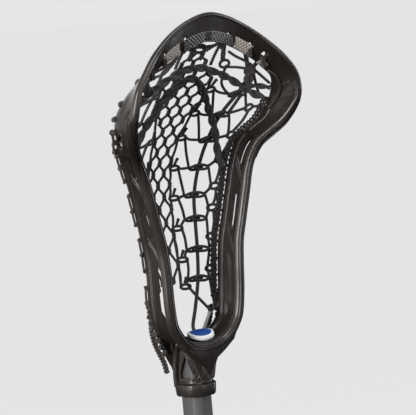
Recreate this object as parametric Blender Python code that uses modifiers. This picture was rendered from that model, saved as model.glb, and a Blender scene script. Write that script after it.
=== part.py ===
"""Field lacrosse stick: an open plastic head with a strung pocket on an octagonal tube shaft.

Frame: origin at the end face of the butt cap, +Z up the shaft to the scoop, the open front
of the head towards -Y, the shaft's axis at x = y = 0.  Metres.
"""
import math

import bmesh
import bpy
from mathutils import Vector

MM = 0.001
GAP = 0.3 * MM

# Shaft: an aluminium octagon, deeper than it is wide.
SHAFT_WIDTH = 20.9 * MM
SHAFT_DEPTH = 24.4 * MM
SHAFT_CHAMFER = 5.2 * MM
SHAFT_WALL = 1.4 * MM
SHAFT_BOTTOM = 3.3 * MM
SOCKET_DEPTH = 34 * MM

# Head: heights below are counted from HEAD_Z, just above the foot of the collar.
HEAD_Z = 763 * MM
COLLAR_FOOT = -3
COLLAR_TOP = 8
COLLAR_WALL = 4.8 * MM
THROAT_WALL = 3.4 * MM
FRONT_BEAD = 4.6 * MM
BACK_BEAD = 3.0 * MM
WEB = 3.4 * MM
STATIONS_PER_HALF = 30

# Fixing screw and ball stop.
SCREW_R = 1.9 * MM
SCREW_HEAD_R = 3.9 * MM
SCREW_HEIGHT = 18
PAD_REACH = 13.5
PAD_WIDTH = 15.0
PAD_THICK = 3.4
PRINT_REACH = 10.5
PRINT_WIDTH = 11.0
PRINT_THICK = 0.5
PAD_LIFT = 0.4
PAD_TILT = 0.34
PAD_Y = -12.0
PAD_HEIGHT = 44.2

# Half of the head's outline, from the middle of the throat round to the middle of the scoop:
# front rail (x, y, height) and back rail (x, y, height), in millimetres.
RAILS = [
    ((0, -18, 36.5), (0, 3.5, 42)),
    ((18, -18, 39.5), (17, 3, 44)),
    ((27, -19, 45), (26.5, 2.5, 48)),
    ((33, -19.5, 52), (32.5, 2, 53)),
    ((37.5, -20, 61), (37, 1.5, 61)),
    ((40, -21, 80), (39.5, 1, 80)),
    ((41, -22, 102), (40.5, -0.5, 102)),
    ((43, -22.5, 122), (42.5, -1.5, 122)),
    ((47, -23.5, 139), (46.5, -3, 139)),
    ((53, -24.5, 162), (52, -4.5, 162)),
    ((59, -25.5, 184), (58, -5.5, 184)),
    ((67, -29, 200), (65, -8, 202)),
    ((76, -37, 209.5), (73, -15, 212)),
    ((84, -45, 218), (80, -24, 220)),
    ((89.5, -53, 230), (85, -29, 230)),
    ((91, -58.5, 241), (86, -35, 242)),
    ((87, -60.5, 257), (80.5, -43, 256)),
    ((75, -59.5, 272), (67.5, -46, 266.5)),
    ((60, -56.5, 285), (53, -48, 276)),
    ((40, -54.5, 298), (35, -49.5, 285)),
    ((20, -54.5, 307), (17, -51, 291.5)),
    ((0, -55, 311), (0, -51.5, 294)),
]

# Depth of the pocket on its centre line: (height, y) in millimetres.
POCKET = [(42, 8), (50, 15), (60, 20), (90, 24), (120, 26), (150, 26), (180, 24),
          (205, 14), (240, -7), (270, -29), (290, -44), (300, -50)]

# Sidewall windows: lowest and highest points in millimetres.
WINDOWS = [(72, 112), (133, 173), (185, 214)]

# Strings.  Each side's rows of knots, top to bottom, as (x, height) in millimetres.
RUNNER_KNOTS = [(57, 244), (48, 227.5), (42, 207), (36, 184), (31, 161), (29.5, 141), (28, 115),
                (26, 90)]
MESH_KNOTS = [(30.5, 250), (23.5, 231), (17.5, 211), (16.0, 185.5), (15.0, 160), (15.5, 134),
              (16.5, 107), (16, 84)]
WALL_KNOTS = [(70, 231), (60, 209), (51, 189), (45, 167), (41, 149), (37.5, 125), (34.5, 98)]
# The net: (height, half width of one diamond) down the pocket, and how many half diamonds it
# spans to each side above each height.
NET_PITCH = [(84, 6.4), (130, 5.9), (200, 6.0), (235, 6.4), (285, 6.8)]
NET_ROWS = 21
NET_SPAN = [(279, 1), (272, 2), (264, 3), (238, 4), (221, 3), (0, 2)]
UPPER_SHOOTER = [(0, 270), (12, 269), (20, 266), (30, 262.5), (42, 257), (54, 250.5), (66, 243.5), (76, 239)]
LOWER_SHOOTER = [(0, 261.5), (5, 260.5), (12, 257), (23, 245.5), (30, 236), (36.5, 226), (43, 215),
                 (46, 205), (48, 193), (50, 183)]
RUNNER_R = 1.9 * MM
LACE_R = 1.2 * MM
SHOOTER_R = 2.1 * MM
WALL_STRING_R = 1.5 * MM
WALL_STRING_LOW = 72
WALL_STRING_HIGH = 238
TAIL_R = 2.4 * MM
TAIL_ROUTE = [(33.5, 9, 66), (33.5, 11.5, 56), (30, 13.5, 44), (25, 14.5, 34), (20.5, 14.5, 25),
              (18.5, 14, 16)]
SHOOTER_LIFT = 5.2
HOLES = [(24, 294.5), (47.5, 284.5), (62, 275.5)]
HOLE_R = 2.9 * MM

BLACK = (0.030, 0.027, 0.026, 1)
STRING = (0.040, 0.036, 0.034, 1)


# ---------------------------------------------------------------- small tools
def clear_scene():
    for thing in list(bpy.data.objects):
        bpy.data.objects.remove(thing, do_unlink=True)


def new_collection(name):
    group = bpy.data.collections.new(name)
    bpy.context.scene.collection.children.link(group)
    return group


def material(name, colour, roughness, metallic=0.0):
    mat = bpy.data.materials.new(name)
    mat.use_nodes = True
    shader = mat.node_tree.nodes["Principled BSDF"]
    shader.inputs["Base Color"].default_value = colour
    shader.inputs["Roughness"].default_value = roughness
    shader.inputs["Metallic"].default_value = metallic
    return mat


def place(name, data, group, mat=None):
    thing = bpy.data.objects.new(name, data)
    group.objects.link(thing)
    if mat:
        data.materials.append(mat)
    return thing


def point(x, y, height):
    """A point of the head, from millimetres and a height above HEAD_Z."""
    return Vector((x * MM, y * MM, HEAD_Z + height * MM))


def between(pairs, at):
    """Read a value off a list of (position, value) pairs in rising order."""
    if at <= pairs[0][0]:
        return pairs[0][1]
    for (a, va), (b, vb) in zip(pairs, pairs[1:]):
        if at <= b:
            return va + (vb - va) * (at - a) / (b - a)
    return pairs[-1][1]


def smooth(points, count, closed=False):
    """Evenly spaced points on a Catmull-Rom curve through the given points."""
    points = [Vector(p) for p in points]
    n = len(points)
    spans = n if closed else n - 1
    fine = []
    for i in range(spans):
        p1 = points[i]
        p2 = points[(i + 1) % n]
        p0 = points[i - 1] if closed or i else p1 + (p1 - p2)
        p3 = points[(i + 2) % n] if closed or i + 2 < n else p2 + (p2 - p1)
        for k in range(24):
            t = k / 24
            fine.append(0.5 * (2 * p1 + (p2 - p0) * t + (2 * p0 - 5 * p1 + 4 * p2 - p3) * t * t
                               + (3 * p1 - p0 - 3 * p2 + p3) * t ** 3))
    fine.append(points[0] if closed else points[-1])
    along = [0.0]
    for a, b in zip(fine, fine[1:]):
        along.append(along[-1] + (b - a).length)
    steps = count if closed else count - 1
    out = []
    j = 0
    for k in range(count):
        goal = along[-1] * k / steps
        while j < len(fine) - 2 and along[j + 1] < goal:
            j += 1
        share = (goal - along[j]) / max(along[j + 1] - along[j], 1e-9)
        out.append(fine[j].lerp(fine[j + 1], min(max(share, 0.0), 1.0)))
    return out


def cord(name, points, radius, group, mat, resolution=2):
    """A round string through the given points, with closed ends."""
    data = bpy.data.curves.new(name, "CURVE")
    data.dimensions = "3D"
    data.bevel_depth = radius
    data.bevel_resolution = resolution
    data.use_fill_caps = True
    spline = data.splines.new("POLY")
    spline.points.add(len(points) - 1)
    for slot, p in zip(spline.points, points):
        slot.co = (p[0], p[1], p[2], 1)
    return place(name, data, group, mat)


def closed_mesh(bm):
    """Weld a mesh, turn its faces outwards and hand it back as mesh data."""
    bmesh.ops.remove_doubles(bm, verts=bm.verts, dist=1e-6)
    bmesh.ops.recalc_face_normals(bm, faces=bm.faces)
    data = bpy.data.meshes.new("mesh")
    bm.to_mesh(data)
    bm.free()
    return data


def loft(rings, closed=False):
    """A skin over a row of rings of equal length, capped at both ends unless it closes."""
    bm = bmesh.new()
    rows = [[bm.verts.new(p) for p in ring] for ring in rings]
    pairs = list(zip(rows, rows[1:]))
    if closed:
        pairs.append((rows[-1], rows[0]))
    else:
        bm.faces.new(rows[0])
        bm.faces.new(list(reversed(rows[-1])))
    for low, high in pairs:
        for i in range(len(low)):
            j = (i + 1) % len(low)
            bm.faces.new((low[i], low[j], high[j], high[i]))
    return closed_mesh(bm)


def octagon(width, depth, chamfer):
    """Corners of an octagon, anticlockwise, about the origin of the XY plane."""
    a = width / 2
    b = depth / 2
    c = chamfer
    right = [(a, -b + c), (a, b - c), (a - c, b)]
    left = [(-a + c, b), (-a, b - c), (-a, -b + c)]
    return right + left + [(-a + c, -b), (a - c, -b)]


def octagon_bar(sections):
    """An octagonal bar through (z, width, depth, chamfer) sections."""
    rings = []
    for z, width, depth, chamfer in sections:
        rings.append([(x, y, z) for x, y in octagon(width, depth, chamfer)])
    return loft(rings)


def slab(name, outline, thickness, group):
    """A flat outline in the XY plane, given a thickness about it, as a mesh object."""
    data = bpy.data.curves.new(name, "CURVE")
    data.dimensions = "2D"
    data.fill_mode = "BOTH"
    data.extrude = thickness / 2
    spline = data.splines.new("POLY")
    spline.points.add(len(outline) - 1)
    for slot, p in zip(spline.points, outline):
        slot.co = (p[0], p[1], 0, 1)
    spline.use_cyclic_u = True
    flat = place(name + "_flat", data, group)
    seen = flat.evaluated_get(bpy.context.evaluated_depsgraph_get())
    mesh = bpy.data.meshes.new_from_object(seen)
    bpy.data.objects.remove(flat, do_unlink=True)
    bm = bmesh.new()
    bm.from_mesh(mesh)
    return place(name, closed_mesh(bm), group)


def cylinder(radius, start, end, sides=16):
    """A round bar from start to end."""
    axis = end - start
    bm = bmesh.new()
    bmesh.ops.create_cone(bm, cap_ends=True, segments=sides, radius1=radius, radius2=radius,
                          depth=axis.length)
    turn = axis.to_track_quat("Z", "Y").to_matrix().to_4x4()
    turn.translation = (start + end) / 2
    bmesh.ops.transform(bm, matrix=turn, verts=bm.verts)
    return closed_mesh(bm)


def hide_tool(thing):
    thing.hide_render = True
    thing.display_type = "WIRE"
    return thing


def boolean(thing, tool, operation):
    step = thing.modifiers.new(tool.name, "BOOLEAN")
    step.operation = operation
    step.solver = "EXACT"
    step.object = tool


def shade(thing, angle=35):
    thing.data.shade_smooth()
    thing.data.set_sharp_from_angle(angle=math.radians(angle))


# ---------------------------------------------------------------- the head
def rail_loops():
    """Front and back rails all the way round the head, as two lists of points."""
    loops = []
    for which in (0, 1):
        half = [pair[which] for pair in RAILS]
        ring = half + [(-x, y, z) for x, y, z in reversed(half[1:-1])]
        loops.append([point(*p) for p in ring])
    return loops


def smooth_pair(front, back, count):
    """Resample two matching closed loops at the same stations, spaced along the front one."""
    n = len(front)
    spots = []
    for i in range(n):
        for k in range(12):
            spots.append((i, k / 12))
    fine = [(ring_at(front, i, t), ring_at(back, i, t)) for i, t in spots]
    along = [0.0]
    for a, b in zip(fine, fine[1:] + fine[:1]):
        along.append(along[-1] + (b[0] - a[0]).length)
    out = []
    for k in range(count):
        goal = along[-1] * k / count
        j = max(i for i in range(len(fine)) if along[i] <= goal + 1e-12)
        nxt = fine[(j + 1) % len(fine)]
        share = (goal - along[j]) / max(along[j + 1] - along[j], 1e-9)
        out.append((fine[j][0].lerp(nxt[0], share), fine[j][1].lerp(nxt[1], share)))
    return out


def ring_at(ring, i, t):
    """A point on the closed Catmull-Rom curve, in span i."""
    n = len(ring)
    p0, p1, p2, p3 = ring[i - 1], ring[i], ring[(i + 1) % n], ring[(i + 2) % n]
    return 0.5 * (2 * p1 + (p2 - p0) * t + (2 * p0 - 5 * p1 + 4 * p2 - p3) * t * t
                  + (3 * p1 - p0 - 3 * p2 + p3) * t ** 3)


def wall_section(front, back, tangent):
    """The wall's cross-section: a round front rail, a web and a smaller back rail."""
    across = (back - front).normalized()
    out = tangent.cross(across).normalized()
    deep = (back - front).length
    shape = [(-FRONT_BEAD, 0), (-0.7 * FRONT_BEAD, 0.72 * FRONT_BEAD)]
    shape += [(0.1 * FRONT_BEAD, FRONT_BEAD), (1.1 * FRONT_BEAD, WEB / 2)]
    shape += [(deep - 1.3 * BACK_BEAD, WEB / 2), (deep, 0.9 * BACK_BEAD)]
    shape += [(deep + BACK_BEAD, 0.4 * BACK_BEAD)]
    mirror = [(s, -n) for s, n in reversed(shape[1:])]
    return [front + across * s + out * n for s, n in shape + mirror]


def wall_band():
    """The continuous wall round the head."""
    front, back = rail_loops()
    pairs = smooth_pair(front, back, 2 * STATIONS_PER_HALF)
    rings = []
    for i, (f, b) in enumerate(pairs):
        tangent = pairs[(i + 1) % len(pairs)][0] - pairs[i - 1][0]
        rings.append(wall_section(f, b, tangent))
    return loft(rings, closed=True)


def front_y(height):
    return between([(f[2], f[1]) for f, b in RAILS[:17]], height)


def wall_window(name, low, high, group):
    """A slim slanted opening through both sidewalls, just behind the front rail."""
    steps = 6
    ahead = []
    behind = []
    for k in range(steps):
        height = low + (high - low - 6) * k / (steps - 1)
        ahead.append((height, front_y(height) + 6.0))
        behind.append((height + 6, front_y(height + 6) + 12.5))
    outline = [(y * MM, z * MM) for z, y in ahead + behind[::-1]]
    tool = slab(name, outline, 230 * MM, group)
    # The slab's outline lies in XY; stand it up so that the outline lies in YZ.
    tool.rotation_euler = (math.radians(90), 0, math.radians(90))
    tool.location = (0, 0, HEAD_Z)
    return hide_tool(tool)


def throat_plate(group):
    """The broad plate in front of the shaft: narrow at the collar, flaring to the rails."""
    half = [(6.6, 5), (6.6, 11.5), (5.8, 12.5), (8.4, 23), (11.5, 27.5), (20, 32.5), (30, 39), (33, 44)]
    outline = [(x * MM, z * MM) for x, z in half]
    outline += [(20 * MM, 41 * MM), (0, 38.5 * MM), (-20 * MM, 41 * MM)]
    outline += [(-x * MM, z * MM) for x, z in reversed(half)]
    tool = slab("throat_plate", outline, 5.6 * MM, group)
    tool.rotation_euler = (math.radians(90), 0, 0)
    tool.location = (0, -19.2 * MM, HEAD_Z)
    return hide_tool(tool)


def throat_tube(group):
    """The socket's outside: a stepped octagonal collar and the sleeve above it."""
    sections = []
    rows = [(COLLAR_FOOT, COLLAR_WALL - 1.2 * MM), (COLLAR_FOOT + 1.5, COLLAR_WALL),
            (COLLAR_TOP, COLLAR_WALL), (COLLAR_TOP + 1, THROAT_WALL), (24, THROAT_WALL),
            (33, THROAT_WALL + 1.5 * MM), (40, THROAT_WALL)]
    for height, wall in rows:
        z = HEAD_Z + height * MM
        sections.append((z, SHAFT_WIDTH + 2 * wall, SHAFT_DEPTH + 2 * wall, SHAFT_CHAMFER + 0.6 * wall))
    return hide_tool(place("throat_tube", octagon_bar(sections), group))


def socket_tool(group):
    low = HEAD_Z + (COLLAR_FOOT - 3) * MM
    high = HEAD_Z + SOCKET_DEPTH
    size = (SHAFT_WIDTH + 2 * GAP, SHAFT_DEPTH + 2 * GAP, SHAFT_CHAMFER + 0.1 * MM)
    return hide_tool(place("socket", octagon_bar([(low, *size), (high, *size)]), group))


def throat_window(group):
    """A tear-shaped opening through both sides of the sleeve, showing the shaft."""
    outline = [(-8.5, 11), (0.5, 10), (2.5, 16), (0, 23), (-6, 31), (-8.5, 24)]
    tool = slab("throat_window", [(y * MM, z * MM) for y, z in outline], 60 * MM, group)
    tool.rotation_euler = (math.radians(90), 0, math.radians(90))
    tool.location = (0, 0, HEAD_Z)
    return hide_tool(tool)


def scoop_holes(group):
    """Stringing holes through the scoop, near its inner edge."""
    tools = []
    for side in (1, -1):
        for i, (x, height) in enumerate(HOLES):
            front = point(side * x, -70, height)
            back = point(side * x, -35, height)
            name = "hole_%s_%d" % ("right" if side > 0 else "left", i)
            tools.append(hide_tool(place(name, cylinder(HOLE_R, front, back, 10), group)))
    return tools


def build_head(group, tools, mat):
    head = place("head_frame", wall_band(), group, mat)
    boolean(head, throat_tube(tools), "UNION")
    boolean(head, throat_plate(tools), "UNION")
    boolean(head, socket_tool(tools), "DIFFERENCE")
    boolean(head, throat_window(tools), "DIFFERENCE")
    for i, (low, high) in enumerate(WINDOWS):
        boolean(head, wall_window("window_%d" % i, low, high, tools), "DIFFERENCE")
    for hole in scoop_holes(tools):
        boolean(head, hole, "DIFFERENCE")
    screw_hole = cylinder(SCREW_R + GAP, screw_point(0), screw_point(30), 12)
    boolean(head, hide_tool(place("screw_hole", screw_hole, tools)), "DIFFERENCE")
    return head


# ---------------------------------------------------------------- the shaft and what is fixed to it
def screw_point(y):
    return point(0, y, SCREW_HEIGHT)


def build_shaft(group, tools, mat):
    low = SHAFT_BOTTOM
    high = HEAD_Z + SOCKET_DEPTH - GAP
    shaft = place("shaft", octagon_bar([(low, SHAFT_WIDTH, SHAFT_DEPTH, SHAFT_CHAMFER),
                                        (high, SHAFT_WIDTH, SHAFT_DEPTH, SHAFT_CHAMFER)]), group, mat)
    thin = 2 * SHAFT_WALL
    inner = (SHAFT_WIDTH - thin, SHAFT_DEPTH - thin, SHAFT_CHAMFER - 0.6 * SHAFT_WALL)
    bore = place("shaft_bore", octagon_bar([(low - 0.01, *inner), (high + 0.01, *inner)]), tools)
    boolean(shaft, hide_tool(bore), "DIFFERENCE")
    hole = cylinder(SCREW_R + GAP, screw_point(0), screw_point(30), 12)
    boolean(shaft, hide_tool(place("shaft_screw_hole", hole, tools)), "DIFFERENCE")
    return shaft


def build_screw(group, mat):
    """Pan-head screw from behind, through the sleeve into the shaft's wall."""
    wall = SHAFT_DEPTH / 2 + THROAT_WALL
    profile = [(0, 0.0023), (0.0026, 0.0021), (SCREW_HEAD_R, 0.0009), (SCREW_HEAD_R, GAP),
               (SCREW_R, GAP), (SCREW_R, -0.0068), (0.0009, -0.0082), (0, -0.0084)]
    bm = bmesh.new()
    dots = [bm.verts.new((r, 0, z)) for r, z in profile]
    for a, b in zip(dots, dots[1:]):
        bm.edges.new((a, b))
    data = bpy.data.meshes.new("screw")
    bm.to_mesh(data)
    bm.free()
    screw = place("head_screw", data, group, mat)
    turn = screw.modifiers.new("turn", "SCREW")
    turn.steps = 16
    turn.render_steps = 16
    turn.use_merge_vertices = True
    turn.merge_threshold = 0.00001
    screw.location = (0, wall, HEAD_Z + SCREW_HEIGHT * MM)
    screw.rotation_euler = (math.radians(-90), 0, 0)
    return screw


def build_butt_cap(group, tools, mat):
    """Rubber cap pushed over the shaft's lower end."""
    rows = [(0, 0.2), (2, 2.4), (10, 3.4), (20, 3.2), (30, 2.2), (33, 1.6)]
    sections = []
    for z, wall in rows:
        grow = 2 * wall * MM
        sections.append((z * MM, SHAFT_WIDTH + grow, SHAFT_DEPTH + grow, SHAFT_CHAMFER + wall * 0.9 * MM))
    cap = place("butt_cap", octagon_bar(sections), group, mat)
    size = (SHAFT_WIDTH + 2 * GAP, SHAFT_DEPTH + 2 * GAP, SHAFT_CHAMFER + 0.1 * MM)
    tool = place("cap_socket", octagon_bar([(SHAFT_BOTTOM - GAP, *size), (0.05, *size)]), tools)
    boolean(cap, hide_tool(tool), "DIFFERENCE")
    return cap


def floor_path(lift, reach, count):
    """Points across the throat floor, from -reach to +reach in x, at its middle depth."""
    out = []
    for k in range(count):
        x = -reach + 2 * reach * k / (count - 1)
        rise = 0.0065 * x * x + 0.0000125 * x ** 4
        out.append((x, PAD_Y, PAD_HEIGHT + lift + rise))
    return out


def oval_strip(path, width, thick):
    """An oval of even thickness that lies along a path and leans back by PAD_TILT."""
    rings = []
    reach = path[-1][0]
    for x, y, z in path:
        half = 0.5 * width * max(1 - abs(x / reach) ** 2.6, 0.03) ** 0.5
        ring = []
        for side, top in ((-1, 0), (1, 0), (1, 1), (-1, 1)):
            ring.append(point(x, y + side * half, z + side * PAD_TILT * half + top * thick))
        rings.append(ring)
    return loft(rings)


def build_pad(group, foam, print_mat):
    pad_path = floor_path(PAD_LIFT, PAD_REACH, 17)
    print_path = floor_path(PAD_LIFT + PAD_THICK + 0.35, PRINT_REACH, 13)
    pad = place("ball_stop_pad", oval_strip(pad_path, PAD_WIDTH, PAD_THICK), group, foam)
    face = place("ball_stop_print", oval_strip(print_path, PRINT_WIDTH, PRINT_THICK), group, print_mat)
    return pad, face


# ---------------------------------------------------------------- the strings
def back_x(height):
    return between([(b[2], b[0]) for f, b in RAILS], height)


def back_y(height):
    return between([(b[2], b[1]) for f, b in RAILS], height)


def pocket_y(x, height):
    """Depth of the pocket's surface: deepest on the centre line, meeting the back rails."""
    middle = between(POCKET, height)
    share = min((abs(x) / max(back_x(height), 1)) ** 2, 1.5)
    return middle + (back_y(height) - middle) * share


def on_pocket(x, height, lift=0.0):
    return point(x, pocket_y(x, height) - lift, height)


def zigzag(first, second, trim_first, trim_second):
    """A lace that runs to and fro between two rows of knots."""
    route = []
    for k in range(max(len(first), len(second))):
        if k < len(first):
            route.append((first[k][0] + trim_first, first[k][1]))
        if k < len(second):
            route.append((second[k][0] + trim_second, second[k][1]))
    return route


def build_side_strings(side, word, group, mats):
    """One side's runner, laces, sidewall string and ties; side is +1 or -1."""
    runner = [(14.5, 51), (21, 66)] + list(reversed(RUNNER_KNOTS)) + [(59.5, 254)]
    path = smooth([on_pocket(side * x, h) for x, h in runner], 26)
    cord("runner_%s" % word, path, RUNNER_R, group, mats["strap"])

    inner = zigzag(RUNNER_KNOTS, MESH_KNOTS, -4.2, 0.0)
    path = [on_pocket(side * x, h) for x, h in inner]
    cord("interlace_%s" % word, path, LACE_R, group, mats["lace"])

    outer = zigzag(RUNNER_KNOTS, WALL_KNOTS, 4.2, -2.0)
    path = [on_pocket(side * x, h) for x, h in outer]
    cord("crosslace_%s" % word, path, LACE_R, group, mats["lace"])

    path = []
    for k in range(22):
        height = WALL_STRING_LOW + (WALL_STRING_HIGH - WALL_STRING_LOW) * k / 21
        inset = 5.6 + 2.0 * max(0, (height - 190) / 48)
        path.append(point(side * (back_x(height) - inset), back_y(height) + 6.0, height))
    cord("sidewall_string_%s" % word, path, WALL_STRING_R, group, mats["string"])

    tie = [on_pocket(side * 29.5, 86), on_pocket(side * 28.5, 74), on_pocket(side * 27.5, 62)]
    cord("throat_tie_%s" % word, smooth(tie, 6), LACE_R, group, mats["lace"])


def build_top_strings(side, word, group, mats):
    """The laces that hang one side of the stringing from the scoop."""
    x1, h1 = HOLES[1]
    x2, h2 = HOLES[2]
    down = [point(side * x1, -44, h1), point(side * (x1 + 1), -41.5, h1 - 5), point(side * 55.5, -38, 265),
            point(side * 58, -36.5, 261), point(side * 61.5, -38, 265), point(side * x2, -41.5, h2 - 5),
            point(side * x2, -44.5, h2)]
    cord("scoop_lace_%s" % word, smooth(down, 14), 1.5 * MM, group, mats["string"])
    tie = [point(side * 30, -45.5, 281), point(side * 40, -45, 277), point(side * 50, -42.5, 272.5)]
    cord("scoop_tie_%s" % word, smooth(tie, 5), LACE_R, group, mats["lace"])
    brace = [point(side * 65, -41, 261), point(side * 71, -38, 256), point(side * 77.5, -37, 249)]
    cord("shoulder_tie_%s" % word, smooth(brace, 5), LACE_R, group, mats["lace"])
    drop = [on_pocket(side * 35.5, 270), on_pocket(side * 38, 263), on_pocket(side * 42, 254)]
    cord("top_drop_%s" % word, smooth(drop, 6), LACE_R, group, mats["lace"])


def build_tail(side, word, group, mats):
    """The plaited loose end of the sidewall string, hanging down behind the throat."""
    path = smooth([point(side * x, y, h) for x, y, h in TAIL_ROUTE], 14)
    cord("string_tail_%s" % word, path, TAIL_R, group, mats["string"])


def net_height(row):
    """Height of a row of net knots: closely spaced at the top, stretched towards the throat."""
    share = row / (NET_ROWS - 1)
    return 281 - 150 * share - 41 * share ** 3


def net_span(height):
    """Half diamonds that the net reaches to each side of its middle at a height."""
    for low, span in NET_SPAN:
        if height >= low:
            return span
    return NET_SPAN[-1][1]


def build_mesh(group, mat):
    """The diamond net down the middle of the pocket, one lattice."""
    bm = bmesh.new()
    knots = {}
    for row in range(NET_ROWS):
        height = net_height(row)
        span = net_span(height)
        for m in range(-span, span + 1):
            if (m + row) % 2:
                knots[row, m] = bm.verts.new(on_pocket(m * between(NET_PITCH, height), height))
    for row in range(1, NET_ROWS - 1):
        for m in range(-4, 5):
            corners = [knots.get(key) for key in ((row - 1, m), (row, m - 1), (row + 1, m), (row, m + 1))]
            if all(corners):
                bm.faces.new(corners)
    loose = [v for v in bm.verts if not v.link_faces]
    bmesh.ops.delete(bm, geom=loose, context="VERTS")
    data = closed_mesh(bm)
    net = place("pocket_mesh", data, group, mat)
    wires = net.modifiers.new("cords", "WIREFRAME")
    wires.thickness = 2.2 * MM
    wires.use_even_offset = False
    wires.use_boundary = True
    wires.use_replace = True
    return net


def build_center_strings(group, mats):
    """The lace that hangs the net from the scoop, and the two shooting strings."""
    hx, hh = HOLES[0]
    half = [(hx, -47.5, hh - 1), (17, -45, 289), (10, -42, 284), (0, -41, 283)]
    left = [point(-x, y, h) for x, y, h in half]
    right = [point(x, y, h) for x, y, h in reversed(half[:-1])]
    cord("scoop_lace_middle", smooth(left + right, 16), 1.5 * MM, group, mats["string"])
    for name, half in (("upper_shooting_string", UPPER_SHOOTER), ("lower_shooting_string", LOWER_SHOOTER)):
        route = [(-x, h) for x, h in reversed(half[1:])] + half
        path = smooth([on_pocket(x, h, SHOOTER_LIFT) for x, h in route], 30)
        cord(name, path, SHOOTER_R, group, mats["shooter"])


def main():
    clear_scene()
    group = new_collection("lacrosse_stick")
    tools = new_collection("cutters")
    plastic = material("head_plastic", BLACK, 0.42)
    alloy = material("shaft_grey", (0.085, 0.088, 0.092, 1), 0.5, 0.0)
    steel = material("screw_steel", (0.35, 0.35, 0.36, 1), 0.35, 1.0)
    rubber = material("cap_rubber", (0.02, 0.02, 0.02, 1), 0.75)
    foam = material("pad_foam", (0.72, 0.74, 0.76, 1), 0.8)
    blue = material("pad_print", (0.03, 0.09, 0.36, 1), 0.45)
    mats = {
        "strap": material("runner_strap", STRING, 0.8),
        "lace": material("lace_cord", STRING, 0.75),
        "string": material("wall_cord", STRING, 0.8),
        "shooter": material("shooter_cord", STRING, 0.85),
    }
    head = build_head(group, tools, plastic)
    shaft = build_shaft(group, tools, alloy)
    cap = build_butt_cap(group, tools, rubber)
    build_screw(group, steel)
    build_pad(group, foam, blue)
    for thing in (head, shaft, cap):
        shade(thing)
    for side, word in ((1, "right"), (-1, "left")):
        build_side_strings(side, word, group, mats)
        build_top_strings(side, word, group, mats)
        build_tail(side, word, group, mats)
    build_mesh(group, material("net_cord", STRING, 0.85))
    build_center_strings(group, mats)


main()
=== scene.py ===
import math

import bmesh
import bpy
import numpy as np
from mathutils import Matrix, Vector


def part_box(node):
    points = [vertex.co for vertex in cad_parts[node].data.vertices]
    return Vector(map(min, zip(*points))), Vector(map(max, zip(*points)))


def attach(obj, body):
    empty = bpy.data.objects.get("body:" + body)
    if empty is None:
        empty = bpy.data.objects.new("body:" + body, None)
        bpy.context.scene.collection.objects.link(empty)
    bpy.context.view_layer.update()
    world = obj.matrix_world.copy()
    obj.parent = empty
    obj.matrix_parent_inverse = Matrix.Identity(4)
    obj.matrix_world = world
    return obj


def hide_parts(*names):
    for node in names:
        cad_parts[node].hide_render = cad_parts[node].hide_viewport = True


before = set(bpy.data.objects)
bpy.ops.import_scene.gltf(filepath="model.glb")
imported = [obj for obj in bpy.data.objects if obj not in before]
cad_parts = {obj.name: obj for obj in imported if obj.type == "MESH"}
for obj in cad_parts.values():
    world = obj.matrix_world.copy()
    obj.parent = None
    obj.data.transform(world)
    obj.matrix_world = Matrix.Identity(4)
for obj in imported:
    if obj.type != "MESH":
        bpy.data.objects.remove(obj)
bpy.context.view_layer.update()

MM = 0.001
HEAD_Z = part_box("head_frame")[0].z + 3 * MM
SHAFT_WIDTH = 20.9 * MM
SHAFT_DEPTH = 24.4 * MM
SHAFT_CHAMFER = 5.2 * MM
SHAFT_WALL = 1.4 * MM
SCREW_HEIGHT = 18
PAD_FRONT = 12.0
PAD_BASE = 44.2
PAD_TILT = 0.34
HOLE_R = 2.9 * MM
SHOOTER_LIFT = 5.0
RIB_PITCH = 3.6

# Half of the head's outline, from the middle of the throat round to the middle of the scoop:
# front rail (x, y, h) and back rail (x, y, h).
RAILS = [
    ((0, -18, 36.5), (0, 3.5, 42)),
    ((18, -18, 39.5), (17, 3, 44)),
    ((27, -19, 45), (26.5, 2.5, 48)),
    ((33, -19.5, 52), (32.5, 2, 53)),
    ((37.5, -20, 61), (37, 1.5, 61)),
    ((40, -21, 80), (39.5, 1, 80)),
    ((41, -22, 102), (40.5, -0.5, 102)),
    ((43, -22.5, 122), (42.5, -1.5, 122)),
    ((47, -23.5, 139), (46.5, -3, 139)),
    ((53, -24.5, 162), (52, -4.5, 162)),
    ((59, -25.5, 184), (58, -5.5, 184)),
    ((67, -29, 200), (65, -8, 202)),
    ((76, -37, 209.5), (73, -15, 212)),
    ((84, -45, 218), (80, -24, 220)),
    ((89.5, -53, 230), (85, -29, 230)),
    ((91, -58.5, 241), (86, -35, 242)),
    ((87, -60.5, 257), (80.5, -43, 256)),
    ((75, -59.5, 272), (67.5, -46, 266.5)),
    ((60, -56.5, 285), (53, -48, 276)),
    ((40, -54.5, 298), (35, -49.5, 285)),
    ((20, -54.5, 307), (17, -51, 291.5)),
    ((0, -55, 311), (0, -51.5, 294)),
]
WINDOWS = [(66, 112, 6.5, 10.5, -1.1), (128, 164, 7.0, 11.0, 0), (179, 207, 7.2, 10.6, 0)]
HOLES = [(24, 294.5), (47.5, 284.5), (62, 275.5)]

# Corners (y, h) of the tear-shaped window in each side of the throat.
TEAR = [(-12.3, 10), (3.2, 9.5), (3.4, 16), (-0.5, 24), (-4.6, 31), (-7.2, 29)]

# Depth of the pocket on its centre line: (h, y).
POCKET = [(42, 8), (50, 15), (60, 20), (90, 24), (120, 26), (150, 26), (180, 24),
          (205, 14), (240, -7), (270, -29), (290, -44), (300, -50)]

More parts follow.
